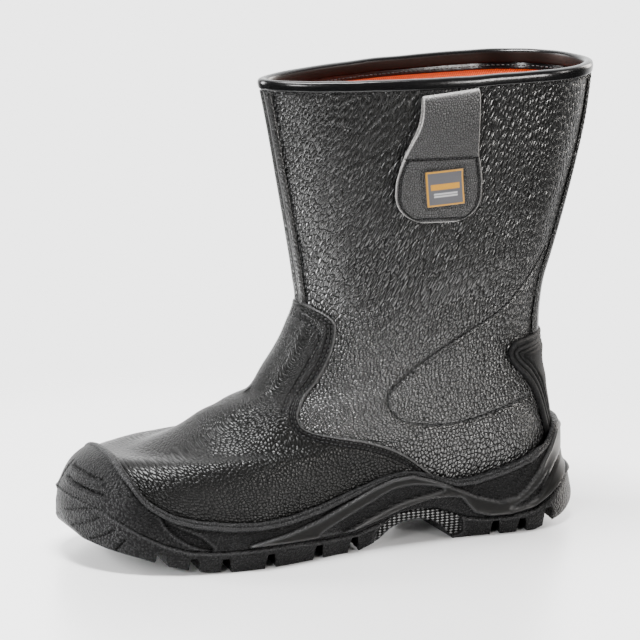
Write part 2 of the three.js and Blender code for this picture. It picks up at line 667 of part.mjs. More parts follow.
// Where a column of the last crosses the rubber's top edge
function edgeLevel(angle) {
  let low = 0;
  let high = 6;
  for (let i = 0; i < 20; i += 1) {
    const middle = (low + high) / 2;
    const point = lastPoint(middle, angle);
    if (point.z < linear(RUBBER_EDGE, point.x) * HEEL_SEAT) low = middle;
    else high = middle;
  }
  return low;
}

// The sole's outer skin runs from its outline up onto the leather
const SKIN_SHARES = [0, 0.2, 0.4, 0.6, 0.8, 1];

function skinSolid(swell) {
  const rings = SKIN_SHARES.map(() => []);
  for (const angle of ANGLES) {
    const topLevel = edgeLevel(angle);
    const foot = outlinePoint(angle, 0, swell);
    foot.z = linear(SPLIT_LINE, foot.x) * HEEL_SEAT - 4;
    SKIN_SHARES.forEach((share, i) => {
      const level = share * topLevel;
      const onLeather = formPoint(level, angle, wrapAt(lastPoint(level, angle).x) + swell);
      rings[i].push(foot.clone().lerp(onLeather, smooth(1.4 * share)));
    });
  }
  return closedStack(rings);
}

// Everything that the sole must leave free
function footCavity() {
  const vamp = formSolid(2 * GAP + VAMP_THICKNESS, GAP, 0).intersect(vampRegion(2 * GAP));
  const guard = formSolid(2 * GAP + GUARD_THICKNESS, GAP, 0).intersect(guardRegion(2 * GAP));
  return formSolid(GAP, GAP, 0).add(vamp).add(guard);
}

function bandRegion() {
  const top = linePoints(BAND_TOP, HEEL_SEAT);
  const bottom = linePoints(BAND_BOTTOM, HEEL_SEAT);
  return sidePrism([...top, ...bottom.reverse()]);
}

function midsoleSolid() {
  const body = skinSolid(0);
  const band = skinSolid(BAND_RISE).intersect(bandRegion());
  const floor = linePoints(SPLIT_LINE, HEEL_SEAT);
  const above = sidePrism([...floor, [FAR, FAR], [-FAR, FAR]]);
  return body.add(band).intersect(above).subtract(footCavity());
}

function outsoleSolid() {
  const levels = table(['z', 'offset', 'flare'], [
    [-5, -2, 0.9], [0, -2, 0.9], [0.3 * HEEL_SEAT, -0.3, 1], [0.55 * HEEL_SEAT, -0.3, 0.9],
    [1.07 * HEEL_SEAT, -0.5, 0], [2 * HEEL_SEAT, -4.5, 0],
  ]);
  const ring = ({ z, offset, flare }) => ANGLES.map((angle) => (
    outlinePoint(angle, z, offset, flare * HEEL_FLARE)));
  const block = closedStack(levels.map(ring));
  const top = linePoints(SPLIT_LINE, HEEL_SEAT, -GAP);
  const tread = linePoints(TREAD_LINE, HEEL_SEAT);
  let sole = block.intersect(sidePrism([...top, ...tread.reverse()]));
  for (const share of GROOVES) {
    const x = share * SOLE_LENGTH;
    const roof = linear(TREAD_LINE, x) * HEEL_SEAT + LUG_DEPTH;
    for (const side of [-1, 1]) {
      const groove = new THREE.BoxGeometry(GROOVE_WIDTH, SOLE_WIDTH, roof + 5);
      groove.translate(0, side * (SOLE_WIDTH + CENTRE_RIB_WIDTH) / 2, (roof - 5) / 2);
      groove.rotateZ(side * 0.12);
      groove.translate(x, 0, 0);
      sole = sole.subtract(solidOf(groove));
    }
  }
  return sole;
}

// Materials
const LEATHER = new THREE.MeshStandardMaterial({ color: 0x17171a, roughness: 0.42, metalness: 0 });
const TRIM_LEATHER = new THREE.MeshStandardMaterial({ color: 0x1b1b1e, roughness: 0.45, metalness: 0 });
const LOOP_MATERIAL = new THREE.MeshStandardMaterial({ color: 0x2a2a2d, roughness: 0.6, metalness: 0 });
const RUBBER = new THREE.MeshStandardMaterial({ color: 0x161618, roughness: 0.7, metalness: 0 });
const GUARD_RUBBER = new THREE.MeshStandardMaterial({ color: 0x1d1d20, roughness: 0.65, metalness: 0 });
const WOVEN = new THREE.MeshStandardMaterial({ color: 0x4a4a4e, roughness: 0.9, metalness: 0 });
const FOAM = new THREE.MeshStandardMaterial({ color: 0x202022, roughness: 0.95, metalness: 0 });

function mesh(name, solid, material) {
  const { vertProperties, triVerts } = solid.getMesh();
  const geometry = new THREE.BufferGeometry();
  geometry.setAttribute('position', new THREE.BufferAttribute(new Float32Array(vertProperties), 3));
  geometry.setIndex(new THREE.BufferAttribute(new Uint32Array(triVerts), 1));
  geometry.computeVertexNormals();
  const part = new THREE.Mesh(geometry, material.clone());
  part.name = name;
  return part;
}

const boot = new THREE.Group();
boot.name = 'rigger_boot';
boot.add(mesh('upper', upperSolid(), LEATHER));
boot.add(mesh('vamp', vampSolid(), LEATHER));
boot.add(mesh('collar_binding', bindingSolid(), TRIM_LEATHER));
boot.add(mesh('front_piping', pipingSolid(), TRIM_LEATHER));
boot.add(mesh('back_stay', staySolid(), TRIM_LEATHER));
boot.add(mesh('heel_guard', guardSolid(), GUARD_RUBBER));
boot.add(mesh('pull_loop_lateral', loopSolid(-1), LOOP_MATERIAL));
boot.add(mesh('pull_loop_medial', loopSolid(1), LOOP_MATERIAL));
boot.add(mesh('label_patch', labelSolid(), WOVEN));
boot.add(mesh('insole', insoleSolid(), FOAM));
boot.add(mesh('midsole', midsoleSolid(), RUBBER));
boot.add(mesh('outsole', outsoleSolid(), RUBBER));
boot.position.x = -HEEL_REST_X;

export default boot;
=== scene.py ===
"""A left rigger boot: leather, seams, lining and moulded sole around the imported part.

Lengths are in millimetres and places in the maker's frame (toe towards -X, lateral side towards -Y,
floor at z = 0, x = 0 at the middle of the sole) until a shape is built, which turns them into the
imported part's metres.
"""

from __future__ import annotations

import logging
import math
from dataclasses import dataclass, field
from enum import Enum
from typing import Callable, Iterable, Sequence

import bpy
import numpy as np
from mathutils import Matrix, Vector, kdtree


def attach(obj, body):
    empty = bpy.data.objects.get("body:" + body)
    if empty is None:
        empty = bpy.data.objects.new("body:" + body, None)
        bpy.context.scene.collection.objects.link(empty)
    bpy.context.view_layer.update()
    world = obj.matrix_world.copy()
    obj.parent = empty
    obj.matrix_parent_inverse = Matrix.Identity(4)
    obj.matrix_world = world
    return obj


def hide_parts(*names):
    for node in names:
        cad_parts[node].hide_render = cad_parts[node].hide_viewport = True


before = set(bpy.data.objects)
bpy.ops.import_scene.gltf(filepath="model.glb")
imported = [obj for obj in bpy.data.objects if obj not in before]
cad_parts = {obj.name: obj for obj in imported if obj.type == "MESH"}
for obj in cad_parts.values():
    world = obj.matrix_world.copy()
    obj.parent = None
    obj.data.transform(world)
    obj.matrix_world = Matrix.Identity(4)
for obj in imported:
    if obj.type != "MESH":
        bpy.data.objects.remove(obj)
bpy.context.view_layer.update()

Array = np.ndarray
Colour = tuple[float, float, float]
LOG = logging.getLogger("rigger_boot")

# The boot's driving sizes, in millimetres
SOLE_LENGTH = 304.0
BALL_WIDTH = 96.0
SOLE_WIDTH = 106.0
INSTEP_HEIGHT = 133.0
COLLAR_HEIGHT = 262.0
COLLAR_LENGTH = 200.0
COLLAR_WIDTH = 89.0
HEEL_SEAT = 28.0
BALL_SEAT = 17.0
TOE_SPRING = 19.5
TOE_SWING = 9.0
RUBBER_WRAP = 4.5
HEEL_CUP_WRAP = 7.0
HEEL_FLARE = 3.4
UPPER_WALL = 2.4
VAMP_TOP_FACE = 2.1
THROAT_X = -0.061 * SOLE_LENGTH
HEEL_REST_X = 0.335 * SOLE_LENGTH
SHAFT_RISE = COLLAR_HEIGHT - INSTEP_HEIGHT

# Metres in a millimetre, a distance beyond every seam, and the least length to divide by
METRES = 0.001
FAR_AWAY = 99.0
TINY = 1e-9

# The per-point mark that holds directions instead of one number
FLOW = "flow"


class Side(Enum):
    """The two sides of the boot, by the sign of y."""

    LATERAL = -1
    MEDIAL = 1


# ---------------------------------------------------------------------------------------------
# Curves and the form of the boot
# ---------------------------------------------------------------------------------------------


def smooth(value: Array | float, low: float = 0.0, high: float = 1.0) -> Array:
    """Eases from 0 at low to 1 at high."""
    share = np.clip((np.asarray(value, float) - low) / (high - low), 0.0, 1.0)
    return share * share * (3.0 - 2.0 * share)


def bell(value: Array, width: float) -> Array:
    """A soft hump of height 1 at zero that is gone at about twice the width."""
    return np.exp(-((np.asarray(value, float) / width) ** 2))


def plateau(value: Array, rise: Sequence[float], fall: Sequence[float]) -> Array:
    """Eases up to 1 between the two ends of rise, and back to 0 between those of fall."""
    return smooth(value, *rise) * (1 - smooth(value, *fall))


def rounded(depth: Array, radius: float) -> Array:
    """The profile of a rounded edge, from 0 at the edge to 1 at a radius inside it."""
    return np.sqrt(1 - (1 - np.clip(depth / radius, 0, 1)) ** 2)


def unit(vectors: Array) -> Array:
    """Vectors of length 1 in the same directions."""
    return vectors / np.maximum(np.linalg.norm(vectors, axis=-1, keepdims=True), TINY)


def between(before: Array, start: Array, stop: Array, after: Array, share: Array) -> Array:
    """Reads a smooth curve between two knots, given their neighbours and a share of the way."""
    return 0.5 * (
        2 * start
        + (stop - before) * share
        + (2 * before - 5 * start + 4 * stop - after) * share * share
        + (3 * start - before - 3 * stop + after) * share**3
    )


def catmull(values: Array, place: Array) -> Array:
    """Runs a smooth curve through rows of values.

    Args:
        values: One row per knot.
        place: Where to read the curve, counted in knots.

    Returns:
        The rows at those places, with the row's numbers along the last axis.
    """
    place = np.asarray(place, float)
    last = len(values) - 1
    i = np.clip(np.floor(place).astype(int), 0, last - 1)
    start, stop = values[i], values[i + 1]
    before = np.where((i > 0)[..., None], values[np.maximum(i - 1, 0)], 2 * start - stop)
    after = np.where((i < last - 1)[..., None], values[np.minimum(i + 2, last)], 2 * stop - start)
    return between(before, start, stop, after, (place - i)[..., None])


def curve_through(points: Sequence[Sequence[float]], count: int = 240) -> Array:
    """A dense smooth line through a few points."""
    knots = np.asarray(points, float)
    return catmull(knots, np.linspace(0, len(knots) - 1, count))


def side_curve(rows: Sequence[Sequence[float]], height: float) -> Array:
    """Turns rows of shares (of the sole's length and of a height) into millimetres."""
    return np.asarray(rows, float) * (SOLE_LENGTH, height)


def run_along(points: Array, axis: int = 0) -> Array:
    """Distance run along a line or a grid of points from its first row or column.

    Args:
        points: The points, (..., 3) or fewer numbers each.
        axis: The axis to run along.

    Returns:
        The distance at each point.
    """
    steps = np.linalg.norm(np.diff(points, axis=axis), axis=-1)
    first = np.zeros_like(np.take(steps, [0], axis=axis))
    return np.cumsum(np.concatenate([first, steps], axis=axis), axis=axis)


def read_along(values: Array, run: Array, where: Array) -> Array:
    """Reads rows of values, which lie at given distances along a line, at other distances."""
    return np.stack([np.interp(where, run, values[:, k]) for k in range(values.shape[1])], axis=-1)


def spaced(line: Array, step: float, measured: int | None = None) -> Array:
    """Places points at even steps along a line.

    Args:
        line: Points of the line, (n, k), with any further numbers behind the measured ones.
        step: Distance between neighbours.
        measured: How many of the k numbers count as place; all of them if left out.

    Returns:
        The evenly spaced points, with their further numbers.
    """
    run = run_along(line[:, :measured])
    return read_along(line, run, np.arange(0.0, run[-1], step))


def segment_distance(points: Array, start: Array, stop: Array) -> Array:
    """Distance of points from the straight line between two corners.

    Args:
        points: Points to measure, (..., 2).
        start: The line's first end.
        stop: Its other end.

    Returns:
        One distance per point.
    """
    edge = stop - start
    along = np.clip(((points - start) @ edge) / max(float(edge @ edge), TINY), 0.0, 1.0)
    return np.linalg.norm(points - start - along[..., None] * edge, axis=-1)


def outline_depth(x: Array, z: Array, outline: Array) -> Array:
    """How deep points of the side view lie inside a closed outline.

    Args:
        x: Places along the boot.
        z: Heights.
        outline: Corners of the outline, (n, 2).

    Returns:
        Millimetres inside the outline, negative outside.
    """
    points = np.stack([x, z], axis=-1)
    near = np.full(x.shape, np.inf)
    inside = np.zeros(x.shape, bool)
    for a, b in zip(outline, np.roll(outline, -1, axis=0)):
        near = np.minimum(near, segment_distance(points, a, b))
        if abs(b[1] - a[1]) > TINY:
            crossing = a[0] + (z - a[1]) * (b[0] - a[0]) / (b[1] - a[1])
            inside ^= ((a[1] > z) != (b[1] > z)) & (x < crossing)
    return np.where(inside, near, -near)


def line_distance(x: Array, z: Array, line: Array) -> Array:
    """Distance of side-view points from an open line."""
    points = np.stack([x, z], axis=-1)
    return np.min([segment_distance(points, a, b) for a, b in zip(line[:-1], line[1:])], axis=0)


def shape_depth(x: Array, z: Array, corners: Sequence[Sequence[float]], count: int = 90) -> Array:
    """How deep points of the side view lie inside a smooth closed outline through a few corners."""
    return outline_depth(x, z, curve_through([*corners, corners[0]], count))


def engraved(x: Array, z: Array, lines: Iterable[Sequence[Sequence[float]]], count: int,
             width: float) -> Array:
    """Soft grooves along smooth open lines of the side view, 1 at their middles."""
    return sum(bell(line_distance(x, z, curve_through(line, count)), width) for line in lines)


def nearest(points: Array, line: Array, reach: float = 12.0) -> Array:
    """Distance from each point to the nearest point of a finely spaced line.

    Args:
        points: Points to measure, (..., 3).
        line: Points of the line, (n, 3).
        reach: Points further away than this are given the value FAR_AWAY.

    Returns:
        The distances, in the shape of points without its last axis.
    """
    flat = points.reshape(-1, 3)
    out = np.full(len(flat), FAR_AWAY)
    low, high = line.min(0) - reach, line.max(0) + reach
    close = np.nonzero(np.all((flat > low) & (flat < high), axis=1))[0]
    tree = kdtree.KDTree(len(line))
    for i, p in enumerate(line):
        tree.insert(p, i)
    tree.balance()
    out[close] = [tree.find(p)[2] for p in flat[close]]
    return np.minimum(out, FAR_AWAY).reshape(points.shape[:-1])


def waves(points: Array, length: float, seed: int, count: int = 7) -> Array:
    """A soft unevenness between about -1 and 1, the same on every run.

    Args:
        points: Where to read it, (..., 3).
        length: The typical distance between two hollows.
        seed: Picks the pattern.
        count: How many waves are laid over each other.

    Returns:
        One number per point.
    """
    draw = np.random.default_rng(seed)
    total = np.zeros(points.shape[:-1])
    for _ in range(count):
        direction = draw.normal(size=3)
        direction /= np.linalg.norm(direction)
        stretch = length * draw.uniform(0.6, 1.6)
        total += np.sin(points @ direction * (2 * math.pi / stretch) + draw.uniform(0, 2 * math.pi))
    return total / math.sqrt(count)


# Each section: its front's x and z, its back's x and z, how far its front and back ends are rounded, then
# its half widths at the five stations, lateral and medial. Foot sections are shares of the sole's length,
# the instep's height and the ball's width; shaft sections those of the collar, from the throat up.
FOOT_SECTIONS = (
    (-0.467, 0.256, 0.451, 0.211, 0.204, 0.151,
     0.458, 0.495, 0.385, 0.365, 0.365, 0.458, 0.464, 0.302, 0.323, 0.354),
    (-0.475, 0.316, 0.452, 0.278, 0.197, 0.151,
     0.464, 0.505, 0.396, 0.375, 0.380, 0.453, 0.474, 0.323, 0.344, 0.370),
    (-0.467, 0.375, 0.456, 0.353, 0.184, 0.151,
     0.438, 0.505, 0.406, 0.385, 0.391, 0.427, 0.464, 0.344, 0.354, 0.375),
    (-0.434, 0.425, 0.453, 0.436, 0.178, 0.151,
     0.365, 0.469, 0.417, 0.396, 0.391, 0.344, 0.432, 0.365, 0.370, 0.380),
    (-0.366, 0.434, 0.447, 0.519, 0.164, 0.148,
     0.271, 0.401, 0.417, 0.396, 0.385, 0.219, 0.359, 0.385, 0.375, 0.375),
    (-0.290, 0.496, 0.440, 0.602, 0.164, 0.145,
     0.198, 0.318, 0.401, 0.396, 0.370, 0.125, 0.266, 0.375, 0.375, 0.365),
    (-0.213, 0.586, 0.433, 0.692, 0.164, 0.141,
     0.115, 0.234, 0.375, 0.391, 0.354, 0.073, 0.182, 0.354, 0.375, 0.349),
    (-0.144, 0.645, 0.429, 0.782, 0.158, 0.138,
     0.073, 0.177, 0.354, 0.385, 0.344, 0.052, 0.135, 0.339, 0.375, 0.339),
    (-0.106, 0.756, 0.428, 0.872, 0.151, 0.138,
     0.062, 0.146, 0.333, 0.385, 0.339, 0.062, 0.146, 0.333, 0.380, 0.339),
    (-0.073, 0.872, 0.429, 0.962, 0.148, 0.138,
     0.062, 0.146, 0.323, 0.391, 0.344, 0.062, 0.146, 0.323, 0.385, 0.344),
    (-0.050, 1.000, 0.435, 1.068, 0.151, 0.141,
     0.062, 0.167, 0.323, 0.396, 0.354, 0.062, 0.167, 0.323, 0.396, 0.354),
)
SHAFT_SECTIONS = (
    (0.008, 0.132, 0.776, 0.186, 0.260, 0.230,
     0.090, 0.202, 0.348, 0.438, 0.399, 0.090, 0.202, 0.348, 0.438, 0.399),
    (-0.015, 0.326, 0.806, 0.357, 0.310, 0.240,
     0.112, 0.225, 0.360, 0.449, 0.421, 0.112, 0.225, 0.360, 0.449, 0.427),
    (-0.043, 0.543, 0.839, 0.566, 0.360, 0.250,
     0.112, 0.247, 0.371, 0.461, 0.444, 0.112, 0.247, 0.371, 0.466, 0.461),
    (-0.073, 0.775, 0.867, 0.786, 0.420, 0.250,
     0.135, 0.270, 0.393, 0.466, 0.461, 0.135, 0.270, 0.393, 0.483, 0.483),
    (-0.101, 0.972, 0.881, 1.011, 0.480, 0.240,
     0.135, 0.292, 0.416, 0.472, 0.472, 0.135, 0.292, 0.416, 0.506, 0.528),
)
STATIONS = np.array([-0.378, -0.181, 0.033, 0.197, 0.355]) * SOLE_LENGTH


def seat_height(x: Array) -> Array:
    """Height of the foot bed over the floor."""
    ball = STATIONS[1]
    toe = BALL_SEAT + TOE_SPRING * ((ball - x) / (0.286 * SOLE_LENGTH)) ** 2
    heel = BALL_SEAT + (HEEL_SEAT - BALL_SEAT) * smooth((x - ball) / (0.43 * SOLE_LENGTH))
    return np.where(x < ball, toe, heel)


def toe_swing(x: Array, z: Array) -> Array:
    """How far the toe swings to the medial side, most of all low down."""
    forward = np.clip((-0.197 * SOLE_LENGTH - x) / (0.296 * SOLE_LENGTH), 0, 1)
    low = np.clip(1 - (z - BALL_SEAT) / (0.5 * INSTEP_HEIGHT), 0.4, 1)
    return TOE_SWING * forward * forward * low


def closing(distance: Array, length: Array) -> Array:
    """The round closing of a section at its front and back ends."""
    k = np.clip(1 - distance / length, 0, 1)
    return np.sqrt(np.maximum(0, 1 - k**2.2))


def half_width(widths: Array, x: Array) -> Array:
    """Reads the half width at x from the widths at the five stations."""
    place = np.interp(x, STATIONS, np.arange(len(STATIONS)))
    last = len(STATIONS) - 1
    i = np.clip(np.floor(place).astype(int), 0, last - 1)

    def take(k: Array) -> Array:
        """Picks one station's width for every point."""
        return np.take_along_axis(widths, np.clip(k, 0, last)[..., None], -1)[..., 0]

    start, stop = take(i), take(i + 1)
    before = np.where(i > 0, take(i - 1), 2 * start - stop)
    after = np.where(i < last - 1, take(i + 2), 2 * stop - start)
    return between(before, start, stop, after, place - i)


class Last:
    """The form that the upper is stretched over, as sections from the feather to the collar."""

    STEP = 0.02
    HALVINGS = 26

    def __init__(self) -> None:
        """Turns the sections' shares into millimetres."""
        foot = np.array(FOOT_SECTIONS) * (
            [SOLE_LENGTH, INSTEP_HEIGHT, SOLE_LENGTH, INSTEP_HEIGHT, SOLE_LENGTH, SOLE_LENGTH]
            + [BALL_WIDTH] * 10
        )
        shaft = np.array(SHAFT_SECTIONS) * (
            [COLLAR_LENGTH, SHAFT_RISE, COLLAR_LENGTH, SHAFT_RISE, COLLAR_LENGTH, COLLAR_LENGTH]
            + [COLLAR_WIDTH] * 10
        )
        shaft[:, [0, 2]] += THROAT_X
        shaft[:, [1, 3]] += INSTEP_HEIGHT
        self.rows: Array = np.vstack([foot, shaft])
        self.top: float = len(self.rows) - 1.0

    def point(self, t: Array, angle: Array) -> Array:
        """Points of the form.

        Args:
            t: Section numbers, 0 at the feather and `top` at the collar.
            angle: 0 at the front, pi at the back by way of the lateral side.

        Returns:
            The points, (..., 3).
        """
        t, angle = np.broadcast_arrays(np.asarray(t, float), np.asarray(angle, float))
        row = catmull(self.rows, np.clip(t, 0, self.top))
        along = (1 - np.cos(angle)) / 2
        x = row[..., 0] + (row[..., 2] - row[..., 0]) * along
        plane = row[..., 1] + (row[..., 3] - row[..., 1]) * along
        feather = self.rows[0, 1] + (self.rows[0, 3] - self.rows[0, 1]) * along
        sag = np.where(t < 2, (1 - t / 2) ** 2 * (seat_height(x) - feather), 0)
        z = plane + sag
        lateral = np.sin(angle) >= 0
        widths = np.where(lateral[..., None], row[..., 6:11], row[..., 11:16])
        ends = closing(x - row[..., 0], row[..., 4]) * closing(row[..., 2] - x, row[..., 5])
        y = np.where(lateral, -1, 1) * half_width(widths, x) * ends + toe_swing(x, z)
        return np.stack([x, y, z], axis=-1)

    def normal(self, t: Array, angle: Array, level: bool = False) -> Array:
        """Outward directions of the form; level ones have no slope."""
        t, angle = np.broadcast_arrays(np.asarray(t, float), np.asarray(angle, float))
        above, under = np.minimum(t + self.STEP, self.top), np.maximum(t - self.STEP, 0)
        rise = self.point(above, angle) - self.point(under, angle)
        run = self.point(t, angle + self.STEP) - self.point(t, angle - self.STEP)
        out = -np.cross(rise, run)
        flat = level | (t <= 0) | (t >= self.top)
        out[..., 2] = np.where(flat, 0, out[..., 2])
        return unit(out)

    def form(self, t: Array, angle: Array, offset: Array | float, level: bool = False) -> Array:
        """Points at a distance outside the form."""
        out = self.normal(t, angle, level)
        return self.point(t, angle) + out * np.asarray(offset, float)[..., None]

    def place(self, x: Array, z: Array, side: Side) -> tuple[Array, Array]:
        """Section number and angle of the side wall's points at given x and z."""
        x, z = np.broadcast_arrays(np.asarray(x, float), np.asarray(z, float))
        low, high = np.zeros(x.shape), np.full(x.shape, self.top)
        along = np.zeros(x.shape)
        for _ in range(self.HALVINGS):
            middle = (low + high) / 2
            row = catmull(self.rows, middle)
            along = np.clip((x - row[..., 0]) / (row[..., 2] - row[..., 0]), 0.0005, 0.9995)
            below = row[..., 1] + (row[..., 3] - row[..., 1]) * along < z
            low, high = np.where(below, middle, low), np.where(below, high, middle)
        angle = np.arccos(1 - 2 * along)
        return low, angle if side is Side.LATERAL else 2 * math.pi - angle

    def wall(self, x: Array, z: Array, side: Side, offset: Array | float = 0.0) -> Array:
        """Points over the side wall at given x and z."""
        t, angle = self.place(x, z, side)
        return self.form(t, angle, offset)

    def level_at(self, height: Array | float, angle: float, low: float, high: float, count: int) -> Array:
        """Section numbers between low and high at which the line at an angle is at given heights."""
        fine = np.linspace(low, high, count)
        return np.interp(height, self.point(fine, np.full(fine.shape, angle))[:, 2], fine)

    def across(self, t: Array, y: Array, back: bool) -> Array:
        """Angles near the front or back line at given distances to its sides.

        Args:
            t: One section number per row.
            y: Distances from the middle, negative on the lateral side.
            back: Whether the back line is meant, else the front one.

        Returns:
            The angles, (rows, columns).
        """
        turn = np.linspace(-1.3, 1.3, 521)
        centre = math.pi if back else 0.0
        angles = []
        for level in t:
            swing = self.point(np.full(turn.shape, level), centre + turn)[:, 1]
            order = np.argsort(swing)
            angles.append(np.interp(y, swing[order], (centre + turn)[order]))
        return np.array(angles)


LAST = Last()

SOLE_SECTION = np.array([0.475, 0.505, 0.385, 0.355, 0.375]), np.array([0.475, 0.465, 0.290, 0.310, 0.365])
RUBBER_EDGE = side_curve([
    (-0.600, 2.68), (-0.434, 2.68), (-0.428, 2.20), (-0.414, 1.84), (-0.385, 1.43), (-0.345, 1.16),
    (-0.303, 1.03), (-0.247, 0.93), (-0.191, 0.89), (-0.135, 0.93), (-0.066, 1.07), (0.000, 1.27),
    (0.059, 1.45), (0.102, 1.53), (0.138, 1.49), (0.178, 1.34), (0.217, 1.22), (0.257, 1.24),
    (0.309, 1.37), (0.368, 1.56), (0.408, 1.77), (0.431, 2.04), (0.470, 2.09), (0.600, 2.09),
], HEEL_SEAT)
SPLIT_LINE = side_curve([
    (-0.560, 1.50), (-0.500, 1.39), (-0.461, 1.23), (-0.408, 0.86), (-0.365, 0.63), (-0.322, 0.50),
    (-0.276, 0.45), (-0.135, 0.44), (-0.046, 0.38), (0.013, 0.39), (0.062, 0.53), (0.099, 0.66),
    (0.138, 0.71), (0.178, 0.68), (0.211, 0.55), (0.243, 0.43), (0.289, 0.37), (0.329, 0.37),
    (0.382, 0.46), (0.418, 0.64), (0.461, 0.86), (0.503, 1.07), (0.560, 1.30),
], HEEL_SEAT)
TREAD_LINE = side_curve([
    (-0.560, 1.35), (-0.501, 1.08), (-0.497, 0.78), (-0.480, 0.57), (-0.454, 0.47), (-0.421, 0.38),
    (-0.405, 0.34), (-0.355, 0.17), (-0.306, 0.06), (-0.247, 0.00), (0.020, 0.00), (0.062, 0.16),
    (0.086, 0.36), (0.112, 0.47), (0.141, 0.50), (0.171, 0.44), (0.197, 0.28), (0.217, 0.00),
    (0.385, 0.00), (0.418, 0.12), (0.451, 0.20), (0.493, 0.42), (0.513, 0.75), (0.560, 1.15),
], HEEL_SEAT)
BAND_TOP = side_curve([
    (-0.214, 0.52), (-0.135, 0.66), (-0.069, 0.84), (-0.007, 1.09), (0.043, 1.30), (0.082, 1.43),
    (0.122, 1.46), (0.164, 1.32), (0.211, 1.11), (0.257, 0.88), (0.306, 0.72), (0.339, 0.77),
    (0.359, 0.92), (0.391, 1.24), (0.418, 1.62), (0.440, 1.98), (0.560, 2.03),
], HEEL_SEAT)
BAND_BOTTOM = side_curve([
    (-0.214, 0.48), (-0.102, 0.46), (0.000, 0.46), (0.062, 0.62), (0.105, 0.77), (0.164, 0.92),
    (0.201, 0.92), (0.227, 0.88), (0.240, 0.71), (0.257, 0.52), (0.289, 0.42), (0.329, 0.42),
    (0.382, 0.52), (0.418, 0.70), (0.461, 0.92), (0.560, 1.10),
], HEEL_SEAT)
VAMP_EDGE = side_curve([
    (-0.048, 1.023), (-0.030, 1.000), (-0.013, 0.970), (-0.007, 0.932), (-0.018, 0.827), (-0.046, 0.711),
    (-0.081, 0.620), (-0.092, 0.575), (-0.082, 0.530), (-0.033, 0.500), (0.033, 0.470), (0.099, 0.410),
    (0.158, 0.314), (0.197, 0.226),
], INSTEP_HEIGHT)
GUARD_EDGE = side_curve([
    (0.411, 0.846), (0.355, 0.835), (0.331, 0.810), (0.324, 0.771), (0.339, 0.718), (0.365, 0.662),
    (0.385, 0.605), (0.398, 0.545), (0.411, 0.466), (0.423, 0.398), (0.431, 0.331),
], INSTEP_HEIGHT)
VAMP_INNER_SEAM = ((-21.5, 130.5), (-17.6, 126.6), (-12.5, 123.8), (-9.8, 121.1), (-9.6, 117.5),
                   (-11.9, 112.0), (-18.2, 101.0), (-25.7, 89.4), (-31.1, 83.5), (-35.4, 78.9))
ANKLE_SEAM = ((125.6, 161.3), (113.8, 147.1), (102.6, 136.6), (90.1, 127.5), (72.7, 118.8),
              (55.6, 109.8), (42.0, 101.6), (31.0, 93.7), (23.8, 86.3), (25.0, 78.7), (33.3, 71.5),
              (44.9, 68.3), (59.2, 67.0), (73.8, 68.2), (88.2, 71.4), (103.4, 75.0), (117.5, 77.2))


# ---------------------------------------------------------------------------------------------
# Shapes
# ---------------------------------------------------------------------------------------------


